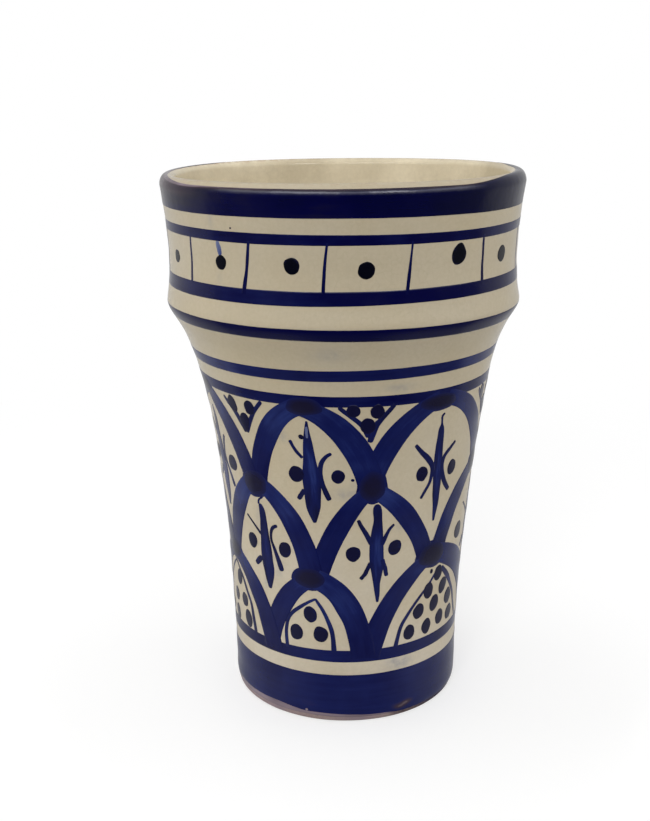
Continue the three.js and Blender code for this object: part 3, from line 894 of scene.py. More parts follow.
def tin_glaze(name, colours, low, high):
    """Cream glaze, low colour to high, where a lighter low colour is painted light: cloudy, crazed, with
    iron specks, blue stains and worn spots.
    """
    shader = Shader(name)
    place = shader.place()
    cloud = shader.noise(place, 46, 4, 0.55)
    # Painted light: from 85 mm down to 10 mm the cream turns to the lighter low colour
    cream = shader.mix(shader.spread(shader.axis(place, "Z"), mm(10), mm(85)), low, high)
    base = shader.mix(shader.spread(cloud, 0.36, 0.66, 0.3, 1.0), colours.cream_warm, cream)
    mottle = shader.spread(shader.noise(place, 1100, 3, 0.6), 0.3, 0.7, 0.0, 0.09)
    base = shader.mix(mottle, base, colours.speck)
    wander = shader.node("ShaderNodeTexNoise", {"Vector": place, "Scale": 260.0, "Detail": 3.0})
    bent = shader.vector("MULTIPLY_ADD", wander.outputs["Color"], (mm(2),) * 3, place)
    cracks = shader.node(
        "ShaderNodeTexVoronoi", {"Vector": bent, "Scale": 420.0}, feature="DISTANCE_TO_EDGE"
    )
    craze = shader.spread(cracks.outputs["Distance"], 0.0, 0.04, 0.07, 0.0)
    faint = shader.math("MULTIPLY", craze, shader.spread(shader.noise(place, 30), 0.42, 0.62))
    base = shader.mix(faint, base, colours.speck)
    dots = shader.node("ShaderNodeTexVoronoi", {"Vector": place, "Scale": 95.0})
    chance = shader.node("ShaderNodeSeparateColor", {"Color": dots.outputs["Color"]}).outputs[0]
    near = shader.spread(dots.outputs["Distance"], 0.02, 0.05, 1.0, 0.0)
    specks = shader.math("MULTIPLY", near, shader.spread(chance, 0.90, 0.98, 0.0, 0.75))
    base = shader.mix(specks, base, colours.speck)
    smear = shader.spread(shader.noise(place, 420, 3, 0.6), 0.35, 0.7, 0.2, 1.0)
    wiped = shader.math("MULTIPLY", shader.attribute("stain", "Fac"), smear)
    base = shader.mix(wiped, base, colours.stain)
    chips = shader.spread(shader.noise(place, 520, 4, 0.6), 0.42, 0.58)
    rubbed = shader.math("MULTIPLY", shader.attribute("wear", "Fac"), chips)
    base = shader.mix(rubbed, base, colours.worn)
    roughness = shader.spread(shader.noise(place, 130, 3), 0.3, 0.7, 0.08, 0.18)
    height = shader.math("ADD", shader.noise(place, 260, 5, 0.6), shader.math("MULTIPLY", craze, -0.6))
    shader.bump(height, 0.10, mm(0.3))
    return shader.finish(base, roughness, GLOSS)


def cobalt(name, stops, streak, scale, relief=0.1):
    """Brushed cobalt: the more paint a place carries the darker it is, with streaks along the brush."""
    shader = Shader(name)
    hairs = shader.stretch(shader.attribute("brush", "Vector"), scale)
    marks = shader.spread(shader.noise(hairs, 1.0, 3, 0.6), 0.25, 0.75, -streak, streak)
    pools = shader.spread(shader.noise(shader.place(), 75, 3), 0.3, 0.7, -0.09, 0.09)
    load = shader.math("ADD", shader.attribute("load", "Fac"), shader.math("ADD", marks, pools))
    base = shader.ramp(load, stops)
    roughness = shader.spread(shader.noise(shader.place(), 160, 3), 0.3, 0.7, 0.10, 0.22)
    shader.bump(shader.noise(shader.place(), 380, 5, 0.6), relief, mm(0.25))
    return shader.finish(base, roughness, GLOSS)


def bare_clay(name, colours):
    """Fired clay: sandy, matt, with darker grog, and blue wiped over it above the table."""
    shader = Shader(name)
    place = shader.place()
    grain = shader.noise(place, 900, 5, 0.65)
    grog, grit = srgb(150, 120, 94), srgb(206, 184, 156)
    sand = shader.ramp(grain, ((0.3, grog), (0.5, colours.clay), (0.72, grit)))
    patches = shader.spread(shader.noise(place, 70, 3), 0.35, 0.6, 0.7, 0.95)
    above = shader.spread(shader.axis(place, "Z"), mm(0.02), mm(0.15))
    right = shader.spread(shader.axis(place, "X"), mm(9.5), mm(14))
    blue = shader.mix(right, colours.plum_wash, colours.deep)
    base = shader.mix(shader.math("MULTIPLY", above, patches), sand, blue)
    roughness = shader.spread(grain, 0.3, 0.7, 0.75, 0.95)
    shader.bump(grain, 0.35, mm(0.25))
    return shader.finish(base, roughness, 0.3)


def finish_of(name, colours):
    """One of the pot's materials, made the first time that it is asked for."""
    if name in bpy.data.materials:
        return bpy.data.materials[name]
    if name == "fired_clay":
        return bare_clay(name, colours)
    # Painted light: the outside cream is lighter low down, and the inside cream is lighter all over
    if name == "cream_glaze":
        return tin_glaze(name, colours, colours.lit_low_cream, colours.cream)
    if name == "lightened_inside_cream":
        return tin_glaze(name, colours, colours.inside, colours.inside)
    faint = (0.0, colours.plum_wash), (0.22, colours.plum)
    blues = (0.0, colours.wash), (0.25, colours.thin), (0.5, colours.middle)
    rim = (*faint, (0.6, colours.knot), (0.8, colours.deep), (1.0, colours.night))
    foot = (*faint, (0.5, colours.middle), (0.75, colours.deep))
    piled = (0.0, colours.middle), (0.9, colours.knot)
    dabbed = (*blues, (0.72, colours.black), (0.92, colours.black), (1.0, colours.ink))
    # Stops, strength of the streaks, scale of the brush's hairs, and the relief where it isn't plain
    cobalts = {
        "rim_cobalt": (rim, 0.05, (60, 900, 1), 0.32),
        "foot_cobalt": (foot, 0.05, (60, 900, 1), 0.2),
        "brushed_cobalt": ((*blues, (0.75, colours.deep)), 0.05, (110, 900, 1)),
        "piled_cobalt": (piled, 0.06, (110, 900, 1)),
        "dabbed_cobalt": (dabbed, 0.10, (160, 1500, 1)),
    }
    return cobalt(name, *cobalts[name])


def off_turn(turn, middle):
    """How far each turn lies from a middle one given in degrees, at most half way round."""
    return (turn - math.radians(middle) + math.pi) % TURN - math.pi


def flank(turn, start, full, last, gone):
    """How far each turn is inside a stretch of the pot: 0 at start and gone, 1 from full to last."""
    side = np.degrees(off_turn(turn, 0))
    return smooth(side, start, full) * smooth(side, gone, last)


def ring_edge(wall, height, tilt, amount, seed):
    """Run of a painted ring's edge at every turn: tilted, and unsteady as a turning brush leaves it."""
    rise = math.tan(math.radians(tilt)) * wall.radius_at(wall.run_at(height)) * np.sin(AROUND)
    tremor = amount * (0.6 * closed_stray(AROUND, seed, 5) + 0.25 * closed_stray(AROUND, seed + 500, 40))
    return wall.run_at(height + rise + tremor)


def edge_heights(node):
    """Lowest and highest height of a painted CAD node."""
    low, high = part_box(node)
    return low.z, high.z


class TUMBLER_OT_clay_body(bpy.types.Operator):
    """Throw the clay body and turn its bare foot"""

    bl_idname = "tumbler.clay_body"
    bl_label = "Clay Body"

    def execute(self, context):
        tumbler = context.scene.tumbler
        pot, wall = tumbler.pot, Wall(tumbler.pot)
        standing = pot.base_radius - pot.foot_tuck
        ring = standing - pot.foot_ring
        recess = ring - pot.foot_recess
        rough = mm(0.05) * closed_stray(AROUND, 3, 40)
        foot = (
            (recess * 0.35, pot.foot_recess),
            (recess * 0.7, pot.foot_recess * 0.97),
            (recess, pot.foot_recess),
            (ring - mm(0.4), mm(0.35)),
            (ring + mm(0.3), mm(0.06)),
            (ring + mm(1.2), 0),
            (standing - mm(1), 0),
            (standing - mm(0.1), mm(0.05)),
            (standing + mm(0.1), mm(0.3)),
        )
        rows = [tip(pot.foot_recess)]
        rows += [hoop(radius + rough * min(1, radius / standing), height) for radius, height in foot]
        runs = np.concatenate([wall.outside_rows[::CLAY_STEP], wall.inside_rows[::CLAY_STEP][:-1]])
        rows += [wall.place(AROUND, run, -pot.glaze) for run in runs]
        rows.append(tip(pot.floor - pot.glaze))
        points, faces = skin(rows)
        material = finish_of("fired_clay", tumbler.colours)
        add_piece("thrown_body", points, faces, material, "earthenware", ["clay_body"])
        return {"FINISHED"}


class TUMBLER_OT_glazes(bpy.types.Operator):
    """Pour the cream glaze over the outside and the inside"""

    bl_idname = "tumbler.glazes"
    bl_label = "Tin Glaze"

    # Height of the rounded lower edge, and the rows added to round it
    BEAD = 0.45
    BEAD_ROWS = (0.05, 0.15, 0.3)
    # How far the back of the glaze stays off the clay
    GAP = 0.02

    def execute(self, context):
        tumbler = context.scene.tumbler
        pot, wall, colours = tumbler.pot, Wall(tumbler.pot), tumbler.colours
        back = -(pot.glaze - mm(self.GAP))
        ahead = np.unique(np.concatenate([wall.outside_rows, mm(np.array(self.BEAD_ROWS))]))
        behind = wall.outside_rows[::-BACK_STEP]
        sag = np.sqrt(1 - np.clip(1 - ahead / mm(self.BEAD), 0, 1) ** 2) - 1
        rows = [wall.place(AROUND, run, -back * drop) for run, drop in zip(ahead, sag)]
        rows += [wall.place(AROUND, run, back) for run in behind]
        points, faces = skin(rows, loop=True)
        runs = np.concatenate([ahead, behind])
        coats = {"stain": self.stains(wall, runs), "wear": self.wear(wall, runs)}
        material = finish_of("cream_glaze", colours)
        add_piece("outside_glaze", points, faces, material, "tin_glaze", ["outer_glaze"], **coats)
        behind, ahead = wall.inside_rows[-BACK_STEP - 1 :: -BACK_STEP], wall.inside_rows[:-1]
        rows = [tip(pot.floor + back)]
        rows += [wall.place(AROUND, run, back) for run in behind]
        rows += [wall.place(AROUND, run) for run in ahead]
        rows.append(tip(pot.floor))
        points, faces = skin(rows)
        wear = np.pad(self.wear(wall, np.concatenate([behind, ahead])), 1)
        coats = {"stain": np.zeros(len(points)), "wear": wear}
        # Painted light: the inside's glaze is a lightened copy of the cream
        material = finish_of("lightened_inside_cream", colours)
        add_piece("inside_glaze", points, faces, material, "tin_glaze", ["inner_glaze"], **coats)
        return {"FINISHED"}

    def stains(self, wall, runs):
        """How much blue was wiped over each place of the outside."""
        total = np.zeros((len(runs), COLUMNS))
        for middle, height, wide, tall, strength in STAINS:
            u = off_turn(AROUND, middle)[None] * wall.radius_at(runs)[:, None] / mm(wide)
            v = (runs[:, None] - wall.run_at(mm(height))) / mm(tall)
            total += strength * np.exp(-(u**2) - v**2)
        return np.clip(total, 0, 1).ravel()

    def wear(self, wall, runs):
        """How far the lip is worn at each place: most at the back on the left."""
        place = np.exp(-(((runs - wall.crest) / mm(1.1)) ** 2))[:, None]
        around = 0.25 + 0.6 * np.exp(-((off_turn(AROUND, -135) / 0.45) ** 2))
        return (place * around[None]).ravel()


class TUMBLER_OT_rim_band(bpy.types.Operator):
    """Paint the thick band over the lip"""

    bl_idname = "tumbler.rim_band"
    bl_label = "Rim Band"

    # Stretches where the band runs over the crest, and how far: to the right, and mirrored to the left
    OVER_RIGHT = (35, 80, 95, 130), 0.9
    OVER_LEFT = (50, 90, 125, 145), 0.7

    def execute(self, context):
        coat = Coat(context)
        wall = coat.wall
        low = ring_edge(wall, edge_heights("rim_band")[0] - mm(0.25), -0.3, mm(0.14), 11)
        high = ring_edge(wall, wall.top - mm(0.98), 0, mm(0.13), 12)
        for turn, (stretch, over) in ((AROUND, self.OVER_RIGHT), (-AROUND, self.OVER_LEFT)):
            high += flank(turn, *stretch) * (wall.crest + mm(over) - high)
        coat.ring(low, high, self.load, rows=44)
        coat.piece("painted_rim", "rim_cobalt", "blue_band", "rim_band")
        return {"FINISHED"}

    def load(self, turn, share):
        """Thick paint, less at its two edges and worn to plum at the left."""
        thick = 0.95 - 0.62 * smooth(share, 0.85, 1.0) - 0.05 * smooth(share, 0.2, 0.05)
        worn = 0.3 * smooth(share, 0.05, 0.3) + 0.4 * smooth(share, 0.4, 0.7)
        plum = worn * np.exp(-((off_turn(turn, -74) / 0.48) ** 2))
        return np.maximum(0.14, thick - plum) + 0.06 * closed_stray(turn, 13, 9)


class TUMBLER_OT_foot_band(bpy.types.Operator):
    """Paint the wide band at the foot, the thin wash under it and the pinhole in it"""

    bl_idname = "tumbler.foot_band"
    bl_label = "Foot Band"

    PINHOLE = (-19.6, 2.7, 0.75, 0.75, 0)
    # Thin places near the lower edge: turn, width in radians, share of the band's height, and its spread
    THIN = ((27.5, 0.06, 0.12, 0.055), (31.5, 0.06, 0.18, 0.06))
    # Stretches where the lower edge dips, and where it dips most and the wash is thick
    DIP = (-38, -18, 110, 150)
    DEEP_DIP = (20, 30, 110, 150)

    def execute(self, context):
        coat = Coat(context)
        low, high = edge_heights("foot_band")
        dip = mm(0.95 + 0.4 * flank(AROUND, *self.DEEP_DIP)) * flank(AROUND, *self.DIP)
        upper = ring_edge(coat.wall, high, 0, mm(0.12), 21)
        lower = ring_edge(coat.wall, low + mm(0.4) - dip, 0, mm(0.35), 22)
        wash = np.abs(mm(0.15) + mm(0.1) * closed_stray(AROUND, 24, 30))
        coat.ring(lower, upper, self.band_load, layer=2, rows=41)
        coat.ring(wash, lower + mm(0.5), self.wash_load, rows=7)
        coat.dab(self.PINHOLE, 0, (-0.3, 0.3), 620, layer=8, soft=(0.5, 1), sides=14)
        coat.piece("painted_foot", "foot_cobalt", "blue_band", "foot_band")
        return {"FINISHED"}

    def band_load(self, turn, share):
        """Even paint but for the thin places."""
        bare = 0.0
        for middle, wide, up, tall in self.THIN:
            bare += np.exp(-((off_turn(turn, middle) / wide) ** 2) - ((share - up) / tall) ** 2)
        return 0.55 + 0.03 * closed_stray(turn, 23, 9) - 0.38 * bare

    def wash_load(self, turn, share):
        """Hardly any paint but for the deep dip."""
        return 0.08 * share + 0.35 * flank(turn, *self.DEEP_DIP)


class TUMBLER_OT_plain_lines(bpy.types.Operator):
    """Paint the single lines under the shoulder ridge and at the waist"""

    bl_idname = "tumbler.plain_lines"
    bl_label = "Plain Lines"

    # CAD node, tilt in degrees and load of each line
    LINES = (("shoulder_line", -0.4, 0.8), ("waist_line", 0.35, 0.5))

    def execute(self, context):
        for seed, (node, tilt, load) in enumerate(self.LINES, 31):
            coat = Coat(context)
            coat.line(*edge_heights(node), tilt, load, seed, unrest=mm(0.13), play=0.05)
            coat.piece(f"painted_{node}", "brushed_cobalt", "blue_brush", node)
        return {"FINISHED"}


class TUMBLER_OT_collar_ladder(bpy.types.Operator):
    """Paint the two lines round the collar and the upright dividers between them"""

    bl_idname = "tumbler.collar_ladder"
    bl_label = "Collar Ladder"

    # Widths of the lines, tilt of the lower one in degrees, the collar's radius, and the lower line's sag
    UPPER_LINE = 2.4
    LOWER_LINE = 3.3
    LOWER_TILT = 0.45
    RADIUS = 43
    SAG = 0.25

    def execute(self, context):
        coat = Coat(context)
        low, high = edge_heights("collar_ladder")
        low -= mm(self.SAG)
        coat.line(high - mm(self.UPPER_LINE), high, -0.25, 0.72, 41)
        coat.line(low, low + mm(self.LOWER_LINE), self.LOWER_TILT, 0.72, 42)
        start, end = (z / mm(1) for z in (high - mm(self.UPPER_LINE / 2), low + mm(self.LOWER_LINE / 2)))
        for index, (top, foot) in enumerate(divider_turns()):
            rise = math.tan(math.radians(self.LOWER_TILT)) * self.RADIUS * math.sin(math.radians(foot))
            bend = (top + foot) / 2 + 0.4 * math.sin(2.4 * index)
            path = curve_on(coat.wall, ((top, start), (bend, (start + end) / 2), (foot, end + rise)), 24)
            share = np.linspace(0, 1, len(path))
            width = coat.paint.divider * (0.58 + 0.45 * share + 0.1 * math.sin(1.7 * index))
            coat.ribbon(path, width, lambda along, across: 0.62 + 0.1 * along, 60 + index, layer=1)
        coat.piece("painted_ladder", "brushed_cobalt", "blue_brush", "collar_ladder")
        return {"FINISHED"}


def divider_turns():
    """All the dividers: those in front as they were read, the others evenly spaced with a little play."""
    rest = WINDOWS - len(DIVIDERS)
    first, last = DIVIDERS[0][0] + 360, DIVIDERS[-1][0]
    rng = np.random.default_rng(7)
    spaced = np.linspace(last, first, rest + 2)[1:-1] + rng.uniform(-1, 1, rest)
    return [*DIVIDERS, *((turn, turn + play) for turn, play in zip(spaced, rng.uniform(-2, 1, rest)))]


class TUMBLER_OT_collar_dots(bpy.types.Operator):
    """Dab one dot into each window of the collar"""

    bl_idname = "tumbler.collar_dots"
    bl_label = "Collar Dots"

    # Height of the dots at the back
    HEIGHT = 117.2

    def execute(self, context):
        coat = Coat(context)
        rng = np.random.default_rng(8)
        turns = [top for top, _ in divider_turns()]
        dots = list(COLLAR_DOTS)
        size = coat.paint.collar_dot / mm(1)
        for turn, after in list(zip(turns, [*turns[1:], turns[0] + 360]))[len(DIVIDERS) - 1 : -1]:
            middle = (turn + after) / 2 + rng.uniform(-2.5, 2.5)
            wide, tall = size * rng.uniform(0.86, 0.98), size * rng.uniform(0.98, 1.12)
            dots.append((middle, self.HEIGHT + rng.uniform(-1, 1.2), wide, tall, rng.uniform(-25, 5)))
        for index, spot in enumerate(dots):
            coat.dab(spot, 0, (1.15, 1.0), 80 + index, layer=1)
        nodes = [f"collar_dot_{number:02d}" for number in range(1, WINDOWS + 1)]
        coat.piece("painted_collar_dots", "dabbed_cobalt", "blue_black", *nodes)
        return {"FINISHED"}


def arm_path(wall, row, index, side):
    """Centreline of one arm of the net, from its knot to the knot that it ends on."""
    nexts = NET_KNOTS[row + 1]
    step = index + (side - 1) // 2 if row % 2 == 0 else index + (side + 1) // 2
    lap, place = divmod(step, len(nexts))
    start = np.array(NET_KNOTS[row][index], float)
    end = np.array(nexts[place], float) + (360 * lap, 0)
    first, bow, reach = ARM_SHIFTS.get((row, index, side), (0, 0, 0))
    shares = ((first, 0), (0.40 + bow, 0.10), (0.79 + (bow + reach) / 2, 0.48), (0.94 + reach, 1.08))
    return curve_on(wall, [start + (end - start) * share for share in shares], 44)


class TUMBLER_OT_scale_net(bpy.types.Operator):
    """Paint the net of scales with its top and base lines"""

    bl_idname = "tumbler.scale_net"
    bl_label = "Scale Net"

    # Widths of the lines, and the base line's sag
    TOP_LINE = 2.8
    BASE_LINE = 3.35
    SAG = 0.15
    # Share of the common width that an arm has at its knot and in full
    WIDTHS = (0.78, 1)

    def execute(self, context):
        coat = Coat(context)
        low, high = edge_heights("scale_net")
        low -= mm(self.SAG)
        coat.line(high - mm(self.TOP_LINE), high, -0.15, 0.60, 101)
        coat.line(low, low + mm(self.BASE_LINE), -0.2, 0.60, 102)
        for row, knots in enumerate(NET_KNOTS[:-1]):
            for index in range(len(knots)):
                for side in (-1, 1):
                    self.arm(coat, row, index, side)
        coat.piece("painted_scales", "brushed_cobalt", "blue_brush", "scale_net")
        return {"FINISHED"}

    def arm(self, coat, row, index, side):
        """One brush stroke of the net."""
        seed = 120 + 20 * row + 2 * index + (side > 0)
        rng = np.random.default_rng(seed)
        path = arm_path(coat.wall, row, index, side)
        share = np.linspace(0, 1, len(path))
        first, full = ARM_WIDTHS.get((row, index, side), self.WIDTHS)
        grow = first + (full - first) * smooth(share, 0.1, 0.6)
        width = coat.paint.arm * rng.uniform(0.98, 1.02) * grow
        thin = rng.uniform(0.0, 0.05)
        pile = 0.12 if row < 2 else 0.0

        def load(along, across):
            fresh = 0.47 + 0.13 * along + pile * smooth(along, 0.7, 1.0)
            return fresh - thin * np.exp(-(((along - 0.3) / 0.16) ** 2)) + 0.03 * np.abs(across) ** 3

        coat.ribbon(path, width, load, seed, layer=2 + 2 * row + (side > 0), across=13, tremor=0.035)


class TUMBLER_OT_scale_knots(bpy.types.Operator):
    """Dab the dark knots where the scales meet"""

    bl_idname = "tumbler.scale_knots"
    bl_label = "Scale Knots"

    # Height of the dabs at the back in each row
    TALL = (5.2, 8, 6.6)

    def execute(self, context):
        coat = Coat(context)
        rng = np.random.default_rng(6)
        for row, tall in enumerate(self.TALL):
            for index, (turn, height) in enumerate(NET_KNOTS[row]):
                spot = turn + rng.uniform(-2, 1), height, rng.uniform(9, 10.4), tall, 0
                spot = KNOT_DABS.get((row, index), spot)
                seed = 200 + 10 * row + index
                coat.dab(spot, 0, (0.92, 0.1), seed, 20, (0.42, 1.0), rough=0.07, sides=36, dome=3)
        coat.piece("scale_knots", "piled_cobalt", "blue_brush")
        return {"FINISHED"}


def sprigs():
    """Row, number, turn and hand of every sprig."""
    for row, hands in enumerate(SPRIGS):
        for index, name in enumerate(hands):
            yield row, index, NET_KNOTS[row][index][0], name


class TUMBLER_OT_leaf_sprigs(bpy.types.Operator):
    """Paint the leaf and its side strokes in every cell of the net"""

    bl_idname = "tumbler.leaf_sprigs"
    bl_label = "Leaf Sprigs"

    def execute(self, context):
        coat = Coat(context)
        for row, index, turn, name in sprigs():
            pale = 0.2 if name == "looped" else 0.14
            seed = 300 + 20 * row + index
            hand = SPRIG_HANDS[name]
            coat.stroke(hand.leaf, turn, lambda *shares: 0.58 - pale * self.streak(*shares), seed)
            for number, points in enumerate(hand.strokes, 7 * seed):
                coat.stroke(points, turn, 0.6, number, layer=2, scale=coat.paint.strokes)
        nodes = [f"sprig_{number:02d}" for number in range(1, 13)]
        coat.piece("leaf_sprigs", "dabbed_cobalt", "blue_black", *nodes)
        return {"FINISHED"}

    def streak(self, along, across):
        """The paler streak that the brush leaves down the middle of a leaf."""
        streak = np.exp(-(((across - 0.1) / 0.42) ** 2))
        return streak * smooth(along, 0.2, 0.42) * smooth(along, 0.9, 0.6)


class TUMBLER_OT_sprig_dots(bpy.types.Operator):
    """Dab the dots beside every leaf"""

    bl_idname = "tumbler.sprig_dots"
    bl_label = "Sprig Dots"

    def execute(self, context):
        coat = Coat(context)
        for row, index, turn, name in sprigs():
            for number, spot in enumerate(SPRIG_HANDS[name].dabs, 400 + 20 * row + 3 * index):
                coat.dab(spot, turn, DOT_LOAD, number)
        coat.piece("sprig_dots", "dabbed_cobalt", "blue_black")
        return {"FINISHED"}


def paint_marks(coat, hand, turn, load, seed):
    """The thin strokes and the dots of one hand."""
    for number, points in enumerate(hand.strokes):
        coat.stroke(points, turn, load, seed + number, layer=3 + number, scale=coat.paint.strokes)
    for number, spot in enumerate(hand.dabs, seed + 2):
        coat.dab(spot, turn, DOT_LOAD, number)


class TUMBLER_OT_pendant_marks(bpy.types.Operator):
    """Paint the hanging points under the top line: a thin V and its dots"""

    bl_idname = "tumbler.pendant_marks"
    bl_label = "Pendant Marks"

    def execute(self, context):
        coat = Coat(context)
        for index, (turn, _) in enumerate(NET_KNOTS[1]):
            paint_marks(coat, PENDANT_HANDS[index % 2], turn, 0.58, 440 + 10 * index)
        coat.piece("pendant_marks", "dabbed_cobalt", "blue_black")
        return {"FINISHED"}


class TUMBLER_OT_dome_marks(bpy.types.Operator):
    """Paint the thin inner arch and the dots in every dome of the lowest row"""

    bl_idname = "tumbler.dome_marks"
    bl_label = "Dome Marks"

    def execute(self, context):
        coat = Coat(context)
        for index, (turn, _) in enumerate(NET_KNOTS[2]):
            paint_marks(coat, DOME_HANDS[index % 3], turn, 0.54, 540 + 20 * index)
        coat.piece("dome_marks", "dabbed_cobalt", "blue_black")
        return {"FINISHED"}


class TUMBLER_OT_brush_slips(bpy.types.Operator):
    """Leave the brush's small slips, a run of blue and specks, and a pale line on a leaf"""

    bl_idname = "tumbler.brush_slips"
    bl_label = "Brush Slips"

    # A run of blue over a collar dot, a pale line over a leaf, and specks as (turn, height, size)
    RUN = ((-40.0, 122, 1.0), (-39.5, 120.6, 1.4), (-39.1, 118.6, 1.3))
    PALE = ((-14.9, 79.3, 0.5), (-15.0, 78, 0.7), (-15.0, 76.2, 0.5))
    SPECKS = ((2.4, 65.8, 0.9), (-34.2, 125.0, 0.5), (150, 70, 0.8))

    def execute(self, context):
        coat = Coat(context)
        coat.stroke(self.RUN, 0, lambda along, across: 0.06 + 0.16 * along, 601)
        coat.stroke(self.PALE, 0, 0.13, 602, layer=6)
        for index, (turn, height, size) in enumerate(self.SPECKS):
            coat.dab((turn, height, size, 0.8 * size, 0), 0, (0.8, 0.6), 610 + index, sides=14)
        coat.piece("brush_slips", "dabbed_cobalt", "blue_black")
        return {"FINISHED"}


def new_lamp(name, place, target, size, watts, gleam=False):
    """A soft lamp aimed at a point; one for gleam is only mirrored, the others only light."""
    data = bpy.data.lights.new(name, "AREA")
    data.shape = "RECTANGLE"
    data.size, data.size_y = size
    data.energy = watts
    lamp = bpy.data.objects.new(name, data)
    bpy.context.scene.collection.objects.link(lamp)
    lamp.location = place
    away = Vector(place) - Vector(target)
    lamp.rotation_euler = away.to_track_quat("Z", "Y").to_euler()
    lamp.visible_glossy = gleam
    lamp.visible_diffuse = not gleam
    return lamp


class TUMBLER_OT_stage(bpy.types.Operator):
    """Set the floor, the lamps, the white surroundings and the camera"""

    bl_idname = "tumbler.stage"
    bl_label = "Stage"

    # Where the camera stands, its angles in degrees, and its lens and sensor in millimetres
    CAMERA = (0.0, -0.2945, 0.1569)
    PITCH = 15.84
    PAN = 0.975
    ROLL = 0.55
    LENS = 51.79
    SENSOR = 36.0
    # Radii of the floor's rings, the points round it, and its depth under the foot in millimetres
    FLOOR_RINGS = (0.1, 0.25, 0.6, 1.5, 4.0)
    FLOOR_POINTS = 96
    FLOOR_DROP = 0.1
    # Way to the backdrop that the pot mirrors: behind it and a little to the left
    BACKDROP = (-0.06, 1.0, 0.0)
    # What the lamps are aimed at
    BODY = (0, 0, 0.07)
    LIP = (0, -0.04, 0.134)

    def execute(self, context):
        scene = context.scene
        light = scene.tumbler.light
        scene.view_settings.view_transform = "Standard"
        self.floor()
        self.world(scene, light.room)
        self.lamps(light)
        data = bpy.data.cameras.new("camera")
        data.lens, data.sensor_width = self.LENS, self.SENSOR
        data.clip_start = 0.01
        camera = bpy.data.objects.new("camera", data)
        scene.collection.objects.link(camera)
        camera.location = self.CAMERA
        camera.rotation_euler = (math.radians(90 - self.PITCH), 0, math.radians(self.PAN))
        camera.rotation_euler.rotate_axis("Z", math.radians(-self.ROLL))
        scene.camera = camera
        return {"FINISHED"}

    def floor(self):
        """A pale floor that keeps the pot's shadow and turns white away from it."""
        turn = np.arange(self.FLOOR_POINTS) * TURN / self.FLOOR_POINTS
        points, faces = skin([tip(0.0), *(hoop(radius, 0.0, turn) for radius in self.FLOOR_RINGS)])
        mesh = bpy.data.meshes.new("floor")
        points = points - (0, 0, mm(self.FLOOR_DROP))
        mesh.from_pydata(points.tolist(), [], [face[::-1] for face in faces])
        floor = bpy.data.objects.new("floor", mesh)
        bpy.context.scene.collection.objects.link(floor)
        mesh.materials.append(self.floor_material())

    def floor_material(self):
        """White for the camera but for the shadow; dark in front and pale behind for reflections, and as
        painted shade also in the light that it bounces onto the pot.
        """
        shader = Shader("pale_floor")
        shader.surface.inputs["Roughness"].default_value = 0.9
        shader.surface.inputs["Specular IOR Level"].default_value = 0.0
        place = shader.node("ShaderNodeNewGeometry").outputs["Position"]
        far = shader.vector("LENGTH", place, output="Value")
        way = shader.vector("NORMALIZE", place)
        # Painted shade: the floor's own colour is dark in front and pale behind, so that less light bounces
        # onto the pot's front
        sheet = shader.greys(shader.spread(shader.axis(way, "Y"), -1.0, -0.2), (0.0, 0.18), (1.0, 0.85))
        shader.link(sheet, shader.surface.inputs["Base Color"])
        paper = shader.node("ShaderNodeBsdfDiffuse", {"Color": (0.5, 0.5, 0.5, 1)})
        glow = shader.node("ShaderNodeEmission", {"Strength": 0.55})
        shaded = shader.node("ShaderNodeAddShader", {0: paper.outputs[0], 1: glow.outputs[0]})
        white = shader.node("ShaderNodeEmission", {"Strength": 1.0})
        seen = shader.blend(shader.spread(far, 0.10, 0.32), shaded, white)
        back = shader.toward(way, self.BACKDROP)
        near = shader.greys(back, (0.02, 0.12), (0.15, 0.38), (1.0, 0.5))
        distant = shader.greys(back, (0.0, 0.012), (0.3, 0.07), (0.49, 0.11), (0.55, 0.33), (1.0, 0.58))
        image = shader.mix(shader.spread(far, 0.045, 0.14), near, distant)
        image = shader.node("ShaderNodeEmission", {"Color": image})
        path = shader.node("ShaderNodeLightPath").outputs
        lit = shader.blend(shader.mirrored(path), shader.surface, image)
        final = shader.blend(path["Is Camera Ray"], lit, seen)
        shader.link(final.outputs[0], shader.output.inputs["Surface"])
        return shader.material

    def world(self, scene, room):
        """White for the camera, a pale room with a window for reflections, even light otherwise."""
        world = bpy.data.worlds.new("white_room")
        world.use_nodes = True
        scene.world = world
        nodes = Nodes(world.node_tree)
        aim = nodes.node("ShaderNodeTexCoord").outputs["Generated"]
        height = nodes.axis(aim, "Z")
        behind = nodes.toward(aim, self.BACKDROP)
        sheet = nodes.greys(behind, (0.2, 0.0), (0.49, 0.11), (0.58, 0.3), (1.0, 0.55))
        ceiling = nodes.greys(height, (0.4, 0.0), (0.8, 0.8))
        front = nodes.greys(behind, (0.4, 1.0), (0.55, 0.0))
        levels = (0.05, 0.0), (0.15, 0.7), (0.26, 1.2), (0.32, 2.8), (0.42, 2.8), (0.5, 0.3), (0.7, 0.0)
        window = nodes.math("MULTIPLY", front, nodes.greys(height, *levels))
        image = nodes.vector("ADD", nodes.vector("MAXIMUM", sheet, ceiling), window)
        backdrop = nodes.node("ShaderNodeBackground", {"Color": image})
        even = nodes.node("ShaderNodeBackground", {"Color": (1, 1, 1, 1), "Strength": room})
        white = nodes.node("ShaderNodeBackground", {"Color": (1, 1, 1, 1), "Strength": 1.0})
        path = nodes.node("ShaderNodeLightPath").outputs
        final = nodes.blend(path["Is Camera Ray"], nodes.blend(nodes.mirrored(path), even, backdrop), white)
        nodes.node("ShaderNodeOutputWorld", {"Surface": final.outputs[0]})

